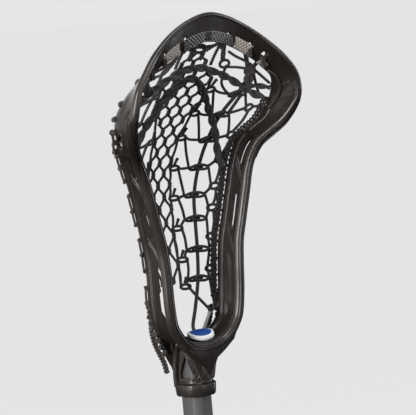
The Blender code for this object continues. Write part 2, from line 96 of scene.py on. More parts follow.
# The rows of knots of one side, top to bottom, as (x, h): on the runner, on the net's edge and
# towards the sidewall.
RUNNER_KNOTS = [(57, 244), (48, 227.5), (42, 207), (36, 184), (31, 161), (29.5, 141), (28, 115),
                (26, 90)]
MESH_KNOTS = [(30.5, 250), (23.5, 231), (17.5, 211), (16, 185.5), (15, 160), (15.5, 134),
              (16.5, 107), (16, 84)]
WALL_KNOTS = [(70, 231), (60, 209), (51, 189), (45, 167), (41, 149), (37.5, 125), (34.5, 98)]
NET_PITCH = [(84, 6.4), (130, 5.9), (200, 6.0), (235, 6.4), (285, 6.8)]
NET_ROWS = 21
NET_JOIN = 2.3
NET_SPAN = [(279, 1), (272, 2), (264, 3), (238, 4), (221, 3), (0, 2)]
UPPER_SHOOTER = [(0, 270), (12, 269), (20, 266), (30, 262.5), (42, 257), (54, 250.5), (66, 243.5),
                 (76, 239)]
LOWER_SHOOTER = [(0, 261.5), (5, 260.5), (12, 257), (23, 245.5), (30, 236), (36.5, 226),
                 (43, 215), (46, 205), (48, 193), (50, 183)]
TAIL_ROUTE = [(33.5, 9, 66), (33.5, 11.5, 56), (30, 13.5, 44), (25, 14.5, 34), (20.5, 14.5, 25),
              (18.5, 14, 16)]
LACE_R = 1.25 * MM


# ---------------------------------------------------------------- the camera
def add_camera():
    """A long lens from the front left, a little above the head and tilted a little."""
    turn, rise, roll = math.radians(-42), math.radians(5), math.radians(5.1)
    ahead = Vector((-math.sin(turn) * math.cos(rise), math.cos(turn) * math.cos(rise), -math.sin(rise)))
    right = Vector((math.cos(turn), math.sin(turn), 0))
    up = right.cross(ahead)
    tilted_right = right * math.cos(roll) - up * math.sin(roll)
    tilted_up = right * math.sin(roll) + up * math.cos(roll)
    data = bpy.data.cameras.new("camera")
    data.lens = 228.5
    data.sensor_width = 36
    data.shift_x = 0.031
    data.shift_y = -0.0166
    camera = bpy.data.objects.new("camera", data)
    place = Matrix((tilted_right, tilted_up, -ahead)).transposed().to_4x4()
    place.translation = Vector((0, -0.02, HEAD_Z + 0.16)) - ahead * 2.2
    camera.matrix_world = place
    bpy.context.scene.collection.objects.link(camera)
    bpy.context.scene.camera = camera


# ---------------------------------------------------------------- lines and skins
def unit(v):
    return v / np.maximum(np.linalg.norm(v, axis=-1, keepdims=True), 1e-12)


def travelled(line):
    """Distance along a line at each of its points."""
    return np.concatenate([[0], np.cumsum(np.linalg.norm(np.diff(line, axis=0), axis=1))])


def at(x, y, h, side=1):
    """A point from millimetres, on the right for side 1 and on the left for side -1."""
    return np.array((side * x * MM, y * MM, HEAD_Z + h * MM))


def respace(line, step, closed=False):
    """The same line with its points spread evenly, about a step apart."""
    along = travelled(line)
    count = max(int(round(along[-1] / step)), 3) + 1
    goal = np.linspace(0, along[-1], count)
    out = np.column_stack([np.interp(goal, along, line[:, k]) for k in range(3)])
    return out[:-1] if closed else out


def spline(p4, count):
    """Catmull-Rom runs of count points between each middle pair of four neighbours."""
    t = np.linspace(0, 1, count, endpoint=False)[:, None]
    runs = []
    for a, b, c, d in zip(p4, p4[1:], p4[2:], p4[3:]):
        runs.append(0.5 * (2 * b + (c - a) * t + (2 * a - 5 * b + 4 * c - d) * t ** 2
                           + (3 * b - a - 3 * c + d) * t ** 3))
    return runs


def smooth(points, step=0.8 * MM, closed=False):
    """Evenly spaced points on a Catmull-Rom curve through the given points."""
    p = np.array([tuple(q) for q in points], float)
    if closed:
        p4 = np.vstack([p[-1:], p, p[:2]])
    else:
        p4 = np.vstack([2 * p[:1] - p[1:2], p, 2 * p[-1:] - p[-2:-1]])
    runs = spline(p4, 14)
    runs.append(p[:1] if closed else p[-1:])
    return respace(np.vstack(runs), step, closed)


def frames(line, closed=False, lift=None):
    """Side and lift directions along a line: square to it, turning as little as they can, or with
    the lift kept near a given direction."""
    if closed:
        ahead = unit(np.roll(line, -1, 0) - np.roll(line, 1, 0))
    else:
        ahead = unit(np.gradient(line, axis=0))
    if lift is not None:
        side = unit(np.cross(np.broadcast_to(np.array(lift, float), line.shape), ahead))
        return side, np.cross(ahead, side)
    first = np.cross(ahead[0], (0.31, 0.87, 0.38))
    side = np.empty_like(line)
    side[0] = unit(first)
    for i in range(1, len(line)):
        s = side[i - 1] - ahead[i] * np.dot(side[i - 1], ahead[i])
        side[i] = s / max(np.linalg.norm(s), 1e-12)
    return side, np.cross(ahead, side)


def rounded_end(tip, next_one, ring, radius):
    """Two shrinking rings past a tube's tip, the outer one first."""
    out = unit(tip - next_one)
    return [tip + out * radius * a + radius * b * ring for a, b in ((0.62, 0.35), (0.4, 0.8))]


class Skin:
    """Collects tubes and patches into one mesh.  Each tube carries its own coordinates in a layer
    called weave: metres along it, and turns round it."""

    def __init__(self):
        self.points = []
        self.faces = []
        self.weave = []
        self.count = 0

    def grid(self, rows, closed=False, wrap=True, caps=True, along=None):
        """A skin through rows of points of equal length, shape (rows, points, 3)."""
        n, m, _ = rows.shape
        base = self.count
        self.points.append(rows.reshape(-1, 3))
        self.count += n * m
        i = np.arange(n if closed else n - 1)[:, None]
        j = np.arange(m if wrap else m - 1)[None, :]
        near, far = i * m, ((i + 1) % n) * m
        here, there = j, (j + 1) % m
        quads = np.stack([near + here, near + there, far + there, far + here], -1).reshape(-1, 4) + base
        self.faces += quads.tolist()
        if along is None:
            along = np.arange(n + 1) * MM
        v0, v1 = j / m, (j + 1) / m
        u0, u1 = along[i], along[np.minimum(i + 1, len(along) - 1)]
        corners = [(u0 + 0 * v0, v0 + 0 * u0), (u0 + 0 * v1, v1 + 0 * u0), (u1 + 0 * v1, v1 + 0 * u1),
                   (u1 + 0 * v0, v0 + 0 * u1)]
        self.weave.append(np.stack([np.stack(c, -1) for c in corners], 2).reshape(-1, 2))
        if caps and not closed and wrap:
            self.faces.append(list(range(base + m - 1, base - 1, -1)))
            self.faces.append(list(range(base + (n - 1) * m, base + n * m)))
            self.weave.append(np.zeros((2 * m, 2)))

    def tube(self, line, radius, sides=8, closed=False, flat=1.0, lift=None):
        """A tube along a line.  flat squeezes it along its lift direction; radius may vary."""
        radius = np.broadcast_to(np.array(radius, float), (len(line),)).copy()
        side, up = frames(line, closed, lift)
        angle = np.linspace(0, 2 * math.pi, sides, endpoint=False)
        ring = np.cos(angle)[None, :, None] * side[:, None]
        ring = ring + flat * np.sin(angle)[None, :, None] * up[:, None]
        rows = line[:, None] + radius[:, None, None] * ring
        along = travelled(line)
        if closed:
            along = np.append(along, along[-1] + np.linalg.norm(line[0] - line[-1]))
        else:
            first = rounded_end(line[0], line[1], ring[0], radius[0])
            last = rounded_end(line[-1], line[-2], ring[-1], radius[-1])[::-1]
            rows = np.concatenate([np.array(first), rows, np.array(last)])
            along = np.concatenate([[along[0]] * 2, along, [along[-1]] * 2])
        self.grid(rows, closed, along=along)

    def twist(self, line, strands, strand_r, helix_r, pitch, phase=0.0, sides=6, closed=False,
              fray=0.0):
        """A rope of strands laid round a line.  fray spreads the strands towards its end."""
        side, up = frames(line, closed)
        along = travelled(line)
        turns = along / pitch
        if closed:
            whole = along[-1] + np.linalg.norm(line[0] - line[-1])
            turns = along / whole * max(round(whole / pitch), 1)
        for k in range(strands):
            angle = 2 * math.pi * (turns + k / strands) + phase
            out = np.cos(angle)[:, None] * side + np.sin(angle)[:, None] * up
            loose = 1 + fray * np.clip((along / along[-1] - 0.6) / 0.4, 0, 1) ** 2
            self.tube(line + out * helix_r * loose[:, None], strand_r, sides, closed)

    def plait(self, line, strand_r, width, pitch, sides=6, depth=1.0):
        """A flat three-strand plait along a line."""
        side, up = frames(line)
        along = travelled(line)
        for k in range(3):
            a = 2 * math.pi * (along / pitch + k / 3)
            across = side * (np.sin(a) * width)[:, None]
            over = up * (np.sin(2 * a) * depth * strand_r * 0.9)[:, None]
            self.tube(line + across + over, strand_r, sides)

    def mesh(self, name):
        data = bpy.data.meshes.new(name)
        data.from_pydata(np.vstack(self.points).tolist(), [], self.faces)
        return data

    def build(self, name, mat, nodes, angle=50):
        """Turns what was collected into a piece of the stick."""
        data = self.mesh(name)
        layer = data.uv_layers.new(name="weave")
        layer.data.foreach_set("uv", np.vstack(self.weave).astype(np.float32).ravel())
        return finish_piece(name, data, mat, nodes, angle)


def finish_piece(name, data, mat, nodes, angle=50):
    """Shades a mesh, links it and ties it to the frame."""
    data.materials.append(mat)
    data.shade_smooth()
    data.set_sharp_from_angle(angle=math.radians(angle))
    piece = bpy.data.objects.new(name, data)
    bpy.context.scene.collection.objects.link(piece)
    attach(piece, "root")
    if nodes:
        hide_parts(*nodes)
    return piece


# ---------------------------------------------------------------- procedural materials
class Nodes:
    """Short words for building a material's node tree."""

    def __init__(self, name):
        self.mat = bpy.data.materials.new(name)
        self.mat.use_nodes = True
        self.tree = self.mat.node_tree
        self.shader = self.tree.nodes["Principled BSDF"]
        self.coords = self.new("ShaderNodeTexCoord").outputs["Object"]

    def new(self, kind, **values):
        node = self.tree.nodes.new(kind)
        for key, value in values.items():
            setattr(node, key, value)
        return node

    def link(self, a, b):
        self.tree.links.new(a, b)

    def noise(self, scale, detail=3.0, rough=0.55, stretch=None):
        node = self.new("ShaderNodeTexNoise")
        node.inputs["Scale"].default_value = scale
        node.inputs["Detail"].default_value = detail
        node.inputs["Roughness"].default_value = rough
        source = self.coords
        if stretch:
            mapping = self.new("ShaderNodeMapping")
            mapping.inputs["Scale"].default_value = stretch
            self.link(source, mapping.inputs["Vector"])
            source = mapping.outputs["Vector"]
        self.link(source, node.inputs["Vector"])
        return node.outputs["Fac"]

    def math(self, operation, a, b=None):
        node = self.new("ShaderNodeMath", operation=operation)
        for slot, value in zip(node.inputs, (a, b)):
            if value is None:
                continue
            if isinstance(value, (int, float)):
                slot.default_value = value
            else:
                self.link(value, slot)
        return node.outputs[0]

    def ramp(self, value, stops):
        node = self.new("ShaderNodeValToRGB")
        while len(node.color_ramp.elements) < len(stops):
            node.color_ramp.elements.new(0.5)
        for element, (at, colour) in zip(node.color_ramp.elements, stops):
            element.position = at
            element.color = (*colour, 1)
        self.link(value, node.inputs["Fac"])
        return node.outputs["Color"]

    def span(self, value, low, high, start=0.0, end=1.0):
        node = self.new("ShaderNodeMapRange")
        for word, number in (("From Min", start), ("From Max", end), ("To Min", low), ("To Max", high)):
            node.inputs[word].default_value = number
        self.link(value, node.inputs["Value"])
        return node.outputs["Result"]

    def mix(self, share, a, b):
        node = self.new("ShaderNodeMix", data_type="RGBA")
        colours = [s for s in node.inputs if s.type == "RGBA"]
        for slot, value in zip([node.inputs["Factor"]] + colours, (share, a, b)):
            if hasattr(value, "is_output"):
                self.link(value, slot)
            elif isinstance(value, tuple):
                slot.default_value = (*value, 1)
            else:
                slot.default_value = value
        return [s for s in node.outputs if s.type == "RGBA"][0]

    def bump(self, height, distance, strength=1.0, under=None):
        node = self.new("ShaderNodeBump")
        node.inputs["Distance"].default_value = distance
        node.inputs["Strength"].default_value = strength
        self.link(height, node.inputs["Height"])
        if under is not None:
            self.link(under, node.inputs["Normal"])
        return node.outputs["Normal"]

    def edges(self, low=0.52, high=0.62):
        """1 on sharp outer edges and 0 on flats, where handling wears the surface."""
        geometry = self.new("ShaderNodeNewGeometry")
        return self.span(geometry.outputs["Pointiness"], 0.0, 1.0, low, high)

    def done(self, colour, rough, normal, **constants):
        self.link(colour, self.shader.inputs["Base Color"])
        self.link(rough, self.shader.inputs["Roughness"])
        self.link(normal, self.shader.inputs["Normal"])
        for word, number in constants.items():
            self.shader.inputs[word.replace("_", " ")].default_value = number
        return self.mat


def head_material():
    """Near-black nylon with a satin moulded skin, faint flow marks and rubbed edges."""
    n = Nodes("head_plastic")
    flow = n.noise(38, 4, 0.6, (1, 1, 0.35))
    colour = n.ramp(flow, [(0.3, (0.0115, 0.0095, 0.009)), (0.72, (0.021, 0.018, 0.0165))])
    colour = n.mix(n.math("MULTIPLY", n.edges(), 0.45), colour, (0.085, 0.078, 0.073))
    scuffs = n.noise(420, 2, 0.5, (1, 0.4, 0.15))
    rough = n.math("ADD", n.span(flow, 0.26, 0.38), n.span(scuffs, 0.0, 0.16, 0.5, 0.8))
    grain = n.bump(n.noise(2600, 2, 0.5), 0.00004, 0.5)
    normal = n.bump(flow, 0.0006, 0.25, grain)
    return n.done(colour, rough, normal, Specular_IOR_Level=0.5)


def cord_material(name, dark, light, weave=0.0, pitch=1.1, plies=8, rough=0.72, fuzz=0.35):
    """Nylon cord: fibres with small light flecks, and a plaited cover where weave is above 0, its hollows
    between strands darkened as painted shade.
    """
    n = Nodes(name)
    fibres = n.noise(1500, 3, 0.6)
    fleck = tuple(min(c * 2.2, 1) for c in light)
    colour = n.ramp(fibres, [(0.36, dark), (0.66, light), (0.82, fleck)])
    normal = n.bump(n.noise(3400, 2, 0.6), 0.0001, fuzz)
    if weave:
        split = n.new("ShaderNodeSeparateXYZ")
        source = n.new("ShaderNodeUVMap", uv_map="weave")
        n.link(source.outputs["UV"], split.inputs["Vector"])
        along = n.math("MULTIPLY", split.outputs["X"], 2 * math.pi / (pitch * MM))
        turn = n.math("MULTIPLY", split.outputs["Y"], 2 * math.pi * plies)
        one = n.math("SINE", n.math("ADD", along, turn))
        two = n.math("SINE", n.math("SUBTRACT", along, turn))
        cover = n.span(n.math("MULTIPLY", one, two), 0, 1, -1, 1)
        # painted shade: the low parts of the plaited cover, between its strands, are mixed towards the dark
        # colour
        colour = n.mix(n.math("MULTIPLY", n.math("SUBTRACT", 1.0, cover), 0.55), colour, dark)
        normal = n.bump(cover, 0.00025, weave, normal)
    shade = n.span(fibres, rough - 0.12, rough + 0.12)
    return n.done(colour, shade, normal, Specular_IOR_Level=0.35, Sheen_Weight=0.25,
                  Sheen_Roughness=0.5)


def shaft_material():
    """Slate-grey matt coating with a fine sparkle and long faint handling marks."""
    n = Nodes("shaft_coating")
    cloud = n.noise(30, 4, 0.6, (1, 1, 0.12))
    fine = n.noise(5200, 2, 0.6)
    colour = n.ramp(cloud, [(0.3, (0.062, 0.065, 0.069)), (0.7, (0.080, 0.083, 0.087))])
    colour = n.mix(n.span(fine, 0, 0.35, 0.62, 0.8), colour, (0.24, 0.25, 0.26))
    colour = n.mix(n.math("MULTIPLY", n.edges(0.53, 0.66), 0.3), colour, (0.3, 0.31, 0.32))
    marks = n.noise(600, 2, 0.5, (1, 1, 0.02))
    rough = n.math("ADD", n.span(cloud, 0.38, 0.48), n.span(marks, 0, 0.12, 0.55, 0.8))
    normal = n.bump(fine, 0.00005, 0.4)
    return n.done(colour, rough, normal, Metallic=0.25, Specular_IOR_Level=0.5)


def rubber_material():
    """Matt black rubber, rubbed a little grey on its edges."""
    n = Nodes("cap_rubber")
    cloud = n.noise(90, 4, 0.6)
    colour = n.ramp(cloud, [(0.3, (0.012, 0.012, 0.012)), (0.75, (0.028, 0.027, 0.026))])
    colour = n.mix(n.math("MULTIPLY", n.edges(), 0.5), colour, (0.07, 0.068, 0.065))
    normal = n.bump(n.noise(1900, 3, 0.6), 0.00012, 0.5)
    return n.done(colour, n.span(cloud, 0.62, 0.85), normal, Specular_IOR_Level=0.35)


def steel_material():
    """Plain steel with fine brush marks."""
    n = Nodes("screw_steel")
    brushed = n.noise(900, 3, 0.6, (1, 1, 0.1))
    colour = n.ramp(brushed, [(0.3, (0.42, 0.42, 0.43)), (0.7, (0.6, 0.6, 0.61))])
    normal = n.bump(brushed, 0.00005, 0.3)
    return n.done(colour, n.span(brushed, 0.22, 0.42), normal, Metallic=1.0)


def foam_material():
    """Pale closed-cell foam with small pores."""
    n = Nodes("pad_foam")
    cells = n.new("ShaderNodeTexVoronoi")
    cells.inputs["Scale"].default_value = 1700
    n.link(n.coords, cells.inputs["Vector"])
    colour = n.ramp(cells.outputs["Distance"], [(0.05, (0.48, 0.5, 0.53)), (0.5, (0.7, 0.72, 0.74))])
    normal = n.bump(cells.outputs["Distance"], 0.00015, 0.6)
    return n.done(colour, n.span(n.noise(300), 0.6, 0.85), normal, Specular_IOR_Level=0.3)


def print_material():
    """Blue printed film: a plain blue oval with a darker rim, faintly mottled."""
    n = Nodes("pad_print")
    cloud = n.noise(240, 3, 0.5)
    blue = n.ramp(cloud, [(0.3, (0.012, 0.055, 0.27)), (0.7, (0.022, 0.085, 0.34))])
    colour = n.mix(n.math("MULTIPLY", n.edges(0.51, 0.6), 0.8), blue, (0.006, 0.016, 0.09))
    normal = n.bump(n.noise(2200, 2, 0.5), 0.00005, 0.4)
    return n.done(colour, n.span(cloud, 0.24, 0.4), normal, Specular_IOR_Level=0.5)


def panel_material(name, ground, stripe, cover):
    """A ribbed panel: slanted stripes follow its ribs, cover millimetres wide across it. Pale stripes on a
    dark ground are a painted highlight along the ribs.
    """
    n = Nodes(name)
    split = n.new("ShaderNodeSeparateXYZ")
    source = n.new("ShaderNodeUVMap", uv_map="weave")
    n.link(source.outputs["UV"], split.inputs["Vector"])
    along = n.math("MULTIPLY", split.outputs["X"], 2 * math.pi * 1.15 / (RIB_PITCH * MM))
    over = n.math("MULTIPLY", split.outputs["Y"], 2 * math.pi * 0.9 * cover / RIB_PITCH)
    wave = n.math("SINE", n.math("ADD", along, over))
    cloud = n.noise(160, 3, 0.6)
    shade = n.mix(n.span(cloud, 0, 0.35, 0.3, 0.7), ground, tuple(0.7 * c for c in ground))
    colour = n.mix(n.span(wave, 0, 1, 0.45, 0.95), shade, stripe)
    normal = n.bump(n.noise(2400, 2, 0.5), 0.00005, 0.4)
    return n.done(colour, n.span(cloud, 0.38, 0.55), normal, Specular_IOR_Level=0.45)


# ---------------------------------------------------------------- the head's surfaces
STATION_STEP = 2.4 * MM


def closed_rails(which):
    half = [pair[which] for pair in RAILS]
    ring = half + [(-x, y, h) for x, y, h in reversed(half[1:-1])]
    return [at(x, y, h) for x, y, h in ring]


def wall_stations():
    """Evenly spaced matching points of the front and back rails, all the way round."""
    front, back = (np.array(closed_rails(w)) for w in (0, 1))
    both = np.hstack([front, back])
    fine = np.vstack(spline(np.vstack([both[-1:], both, both[:2]]), 24) + [both[:1]])
    along = travelled(fine[:, :3])
    half = int(round(along[-1] / STATION_STEP / 2))
    goal = np.linspace(0, along[-1], 2 * half + 1)[:-1]
    return np.column_stack([np.interp(goal, along, fine[:, k]) for k in range(6)])


STATIONS = wall_stations()
FRONT, BACK = STATIONS[:, :3], STATIONS[:, 3:]
ACROSS = unit(BACK - FRONT)
DEEP = np.linalg.norm(BACK - FRONT, axis=1) / MM
INWARD = unit(np.cross(unit(np.roll(FRONT, -1, 0) - np.roll(FRONT, 1, 0)), ACROSS))
HALF = len(STATIONS) // 2
HEIGHTS = (FRONT[:HALF + 1, 2] - HEAD_Z) / MM


def wall_point(h, s, n, side=1, rear=True):
    """A point of a sidewall: h is the front rail's height, s runs from the front rail back, and n
    from the wall's middle into the head, all in millimetres.  Negative s counts from the back rail,
    unless rear is off."""
    def read(table):
        return np.array([np.interp(h, HEIGHTS, table[:HALF + 1, k]) for k in range(3)])
    deep = np.interp(h, HEIGHTS, DEEP[:HALF + 1])
    s = deep + s if rear and s < 0 else s
    p = read(FRONT) + unit(read(ACROSS)) * s * MM + unit(read(INWARD)) * n * MM
    return p * (side, 1, 1)


def ramp_up(value, low, high):
    t = np.clip((value - low) / (high - low), 0, 1)
    return t * t * (3 - 2 * t)


def side_plan(deep, bulge):
    """Section of a sidewall, as (s, n) in millimetres: round front rail with a groove and a thin
    inner lip, thin web, broad back rail.  bulge thickens the web's outside at the shoulder."""
    mid = 0.45 * deep
    out = -1.3 - 2.2 * bulge
    return [(-4.6, -0.5), (-4.0, 0.1), (-4.55, 0.75), (-4.35, 1.75), (-3.3, 2.5), (-3.65, 3.2), (-2.9, 3.9),
            (-1.2, 4.5), (0.3, 4.6),
            (1.4, 4.2), (2.2, 2.9), (3.4, 1.7), (mid, 1.3), (deep - 6, 1.4), (deep - 5.2, 2.6),
            (deep - 4, 3), (deep - 0.5, 3), (deep + 1.5, 2.4), (deep + 2.9, 0.9), (deep + 3, -0.8),
            (deep + 1.8, -2.3), (deep - 0.5, -2.9), (deep - 3.5, -2.9), (deep - 5, -2.4 - 0.8 * bulge),
            (deep - 5.8, -1.4 - 1.9 * bulge), (mid, out), (4.4, -1.6 - 1.9 * bulge),
            (3.2, -2.4 + 0.9 * bulge),
            (1.5, -4.1), (0, -4.6), (-1.8, -4.3), (-3.3, -3.3), (-4.2, -1.9)]


def scoop_plan(deep):
    """Section of the scoop: a broad smooth face, a narrow rim and a thin line inside it."""
    mid = 0.45 * deep
    return [(-4.6, 0), (-4.5, 0.8), (-4.15, 1.5), (-3.75, 1.9), (-3.3, 2.2), (-2.7, 2.6), (-2.1, 2.35),
            (-1.6, 1.7), (-0.8, 1.6), (0, 1.6), (1.5, 1.6), (3, 1.6), (mid, 1.5), (deep - 6, 1.5),
            (deep - 5, 1.6),
            (deep - 3.5, 1.7), (deep - 0.5, 2), (deep + 1, 1.9), (deep + 2.4, 1.2), (deep + 2.9, 0),
            (deep + 2.4, -1.2), (deep + 0.5, -1.9), (deep - 3, -1.9), (deep - 5, -1.8),
            (deep - 6, -1.7), (mid, -1.7), (3.6, -1.9), (2.6, -2.2), (1.5, -2.8), (0, -3.3),
            (-1.8, -3.3), (-3.3, -2.6), (-4.2, -1.4)]


def wall_band():
    """The wall right round the head, as a closed skin."""
    rows = []
    for i in range(len(STATIONS)):
        h = (FRONT[i, 2] - HEAD_Z) / MM
        scoop = ramp_up(h, 214, 262)
        bulge = ramp_up(h, 201, 207) * (1 - ramp_up(h, 238, 254))
        one, two = np.array(side_plan(DEEP[i], bulge)), np.array(scoop_plan(DEEP[i]))
        plan = one + (two - one) * scoop
        rows.append(FRONT[i] + (ACROSS[i] * plan[:, :1] + INWARD[i] * plan[:, 1:]) * MM)
    rows = np.array(rows)
    skin = Skin()
    skin.grid(rows[:, ::-1], closed=True)
    return skin


# ---------------------------------------------------------------- cutters
def prism(name, outline, low, high, axis, bevel=0.0):
    """A closed prism with a flat outline.  axis 0 takes (y, z) outlines along x, axis 1 takes
    (x, z) outlines along y."""
    bm = bmesh.new()
    layers = []
    for at in (low, high):
        row = []
        for a, b in outline:
            row.append(bm.verts.new((at, a, b) if axis == 0 else (a, at, b)))
        layers.append(row)
    bm.faces.new(layers[0])
    bm.faces.new(layers[1][::-1])
    count = len(outline)
    for i in range(count):
        j = (i + 1) % count
        bm.faces.new((layers[0][i], layers[1][i], layers[1][j], layers[0][j]))
    thing = loose_object(name, from_bmesh(bm, name))
    if bevel:
        edge = thing.modifiers.new("edge", "BEVEL")
        edge.width = bevel
        edge.segments = 3
        edge.limit_method = "ANGLE"
        edge.angle_limit = math.radians(50)
    return thing


def rounded(outline, corner=0.25):
    """An outline (a, b) with its corners cut round."""
    pts = [np.array(p, float) for p in outline]
    out = []
    for i, p in enumerate(pts):
        before, after = pts[i - 1], pts[(i + 1) % len(pts)]
        a, b = p + (before - p) * corner, p + (after - p) * corner
        for t in (0, 0.25, 0.5, 0.75, 1):
            out.append((1 - t) ** 2 * a + 2 * t * (1 - t) * p + t * t * b)
    return out


def cut(thing, tools=()):
    """The mesh of an object with its bevel and with each tool cut out of it.  The object and the
    tools are removed."""
    for tool in tools:
        step = thing.modifiers.new(tool.name, "BOOLEAN")
        step.operation = "DIFFERENCE"
        step.solver = "EXACT"
        step.object = tool
    seen = thing.evaluated_get(bpy.context.evaluated_depsgraph_get())
    data = bpy.data.meshes.new_from_object(seen)
    for used in (thing, *tools):
        bpy.data.objects.remove(used, do_unlink=True)
    return data


def from_bmesh(bm, name):
    """A mesh from a bmesh, with its faces turned outwards."""
    bmesh.ops.recalc_face_normals(bm, faces=bm.faces)
    data = bpy.data.meshes.new(name)
    bm.to_mesh(data)
    bm.free()
    return data


def loose_object(name, data):
    thing = bpy.data.objects.new(name, data)
    bpy.context.scene.collection.objects.link(thing)
    return thing


def window_tool(low, high, near, far, slant, side):
    """One slim opening, from near to far behind the front rail, leaning back as it rises."""
    layers = []
    for n in (9.0, -9.0):
        shift = np.array((-side * n * MM, slant * -n * MM, 0))
        ahead, behind = [], []
        for t in np.linspace(0, 1, 9):
            h = low + (high - low - 6) * t
            ahead.append(wall_point(h, near, 0, side) + shift)
            behind.append(wall_point(h + 6, far, 0, side) + shift)
        layers.append(np.array(ahead + behind[::-1]))
    skin = Skin()
    skin.grid(np.array(layers))
    bm = bmesh.new()
    bm.from_mesh(skin.mesh("window"))
    return loose_object("window", from_bmesh(bm, "window"))


def dent(h, s, n, radii, side):
    """An ellipsoid set in the wall, with its radii across, along and through the wall."""
    bm = bmesh.new()
    bmesh.ops.create_icosphere(bm, subdivisions=4, radius=1)
    centre = wall_point(h, s, n, side)
    across = unit(wall_point(h, s + 1, n, side) - centre)
    through = unit(wall_point(h, s, n + 1, side) - centre)
    along = np.cross(through, across)
    for v in bm.verts:
        a, b, c = v.co.x * radii[0], v.co.y * radii[1], v.co.z * radii[2]
        v.co = Vector(centre + (across * a + along * b + through * c) * MM)
    return loose_object("dent", from_bmesh(bm, "dent"))


def hole_tool(x, h, side):
    bm = bmesh.new()
    bmesh.ops.create_cone(bm, cap_ends=True, segments=24, radius1=HOLE_R, radius2=HOLE_R, depth=0.05)
    hole = loose_object("hole", from_bmesh(bm, "hole"))
    hole.rotation_euler = (math.radians(90), 0, 0)
    hole.location = at(x, -52, h, side)
    return hole


def wall_tools():
    """Openings in both sidewalls, hollows in the shoulders and the throat, and stringing holes."""
    tools = [window_tool(*window, side) for window in WINDOWS for side in (1, -1)]
    for side in (1, -1):
        tools.append(dent(219, 14.5, -5.0, (5.4, 7.6, 4.9), side))
        tools.append(dent(61, 12, 3.4, (2.6, 6.5, 2.7), side))
        tools += [hole_tool(x, h, side) for x, h in HOLES]
    return tools


# ---------------------------------------------------------------- the throat
def octagon(width, depth, chamfer):
    """Corners of an octagon with each corner rounded off, anticlockwise."""
    round_share = 0.22
    a, b, c = width / 2, depth / 2, chamfer
    corners = [(a, -b + c), (a, b - c), (a - c, b), (-a + c, b)]
    corners += [(-x, -y) for x, y in corners]
    pts = [np.array(p) for p in corners]
    out = []
    for i, p in enumerate(pts):
        before, after = pts[i - 1], pts[(i + 1) % 8]
        size = round_share * min(np.linalg.norm(before - p), np.linalg.norm(after - p))
        s, e = p + unit(before - p) * size, p + unit(after - p) * size
        for t in (0, 0.33, 0.67, 1):
            out.append((1 - t) ** 2 * s + 2 * t * (1 - t) * p + t * t * e)
    return np.array(out)


def octagon_rows(sections):
    """Rings of an octagonal body through (z, width, depth, chamfer) sections."""
    rows = []
    for z, width, depth, chamfer in sections:
        ring = octagon(width, depth, chamfer)
        rows.append(np.column_stack([ring, np.full(len(ring), z)]))
    return np.array(rows)


def sleeve():
    """The socket: a collar and the sleeve above it, open at both ends, with a tear-shaped window."""
    outside = [(-5, 2.9), (-4.4, 3.9), (-3.4, 4.3), (0, 4.7), (3.8, 5.0), (4.9, 4.8), (5.5, 4.1),
               (5.9, 3.2), (7, 2.5), (11, 2.5), (24, 3.0), (33, 4.6), (38, 4.4), (40, 3.4)]
    rows = []
    for h, wall in outside:
        w = wall * MM
        size = (SHAFT_WIDTH + 2 * w, SHAFT_DEPTH + 2 * w, SHAFT_CHAMFER + 0.6 * w)
        rows.append((HEAD_Z + h * MM, *size))
    bore = (SHAFT_WIDTH + 0.6 * MM, SHAFT_DEPTH + 0.6 * MM, SHAFT_CHAMFER)
    rows += [(HEAD_Z + h * MM, *bore) for h in (40, 34, -5)]
    skin = Skin()
    skin.grid(octagon_rows(rows), closed=True)
    outline = [(y * MM, HEAD_Z + h * MM) for y, h in rounded(TEAR)]
    return cut(loose_object("sleeve", skin.mesh("sleeve")), [prism("tear", outline, -0.03, 0.03, 0)])


def plate(name, line, front, back, bevel, shear=None):
    """A plate between two depths, from the half outline (x, h).  shear gives each height's shift."""
    outline = [(x * MM, HEAD_Z + h * MM) for x, h in line]
    outline += [(-x * MM, HEAD_Z + h * MM) for x, h in reversed(line[1:-1])]
    thing = prism(name, outline, front * MM, back * MM, 1, bevel * MM)
    if shear:
        for v in thing.data.vertices:
            v.co.y += shear((v.co.z - HEAD_Z) / MM) * MM
    return cut(thing)


def tongue():
    """The broad smooth plate in front of the shaft, stepping back towards its foot."""
    line = [(0, 10.6), (5.8, 10.6), (8.9, 22), (10.8, 26), (18, 31), (29, 39), (33, 46), (28, 43.5),
            (20, 40), (10, 37.6), (0, 37)]
    return plate("tongue", line, -22.2, -16.2, 0.9, lambda h: 2.9 * (1 - ramp_up(h, 22, 36)))


def tab():
    """The narrow lower end of the tongue."""
    return plate("tab", [(0, 9.6), (4.9, 9.6), (7.8, 20.8), (0, 20.8)], -19.4, -14.6, 0.6)


def back_plate():
    """The plate behind the shaft that closes the throat under the pocket, with a hollow top edge."""
    line = [(0, 9), (9, 9.5), (12, 20), (17, 30), (25, 40), (31, 49), (27, 47.5), (17, 43.5),
            (8, 41), (0, 40)]
    return plate("back_plate", line, 12.4, 15.4, 0.8, lambda h: -0.40 * max(h - 24, 0))


def side_of_throat(y, h, side, out=0.0):
    """A point on the sleeve's skin at depth y, out millimetres off it."""
    half_x, half_y = SHAFT_WIDTH / 2 / MM + 2.8 + out, SHAFT_DEPTH / 2 / MM + 2.8 + out
    chamfer = SHAFT_CHAMFER / MM + 1.6
    x = half_x - max(0.0, abs(y) - (half_y - chamfer))
    return at(x, y, h, side)


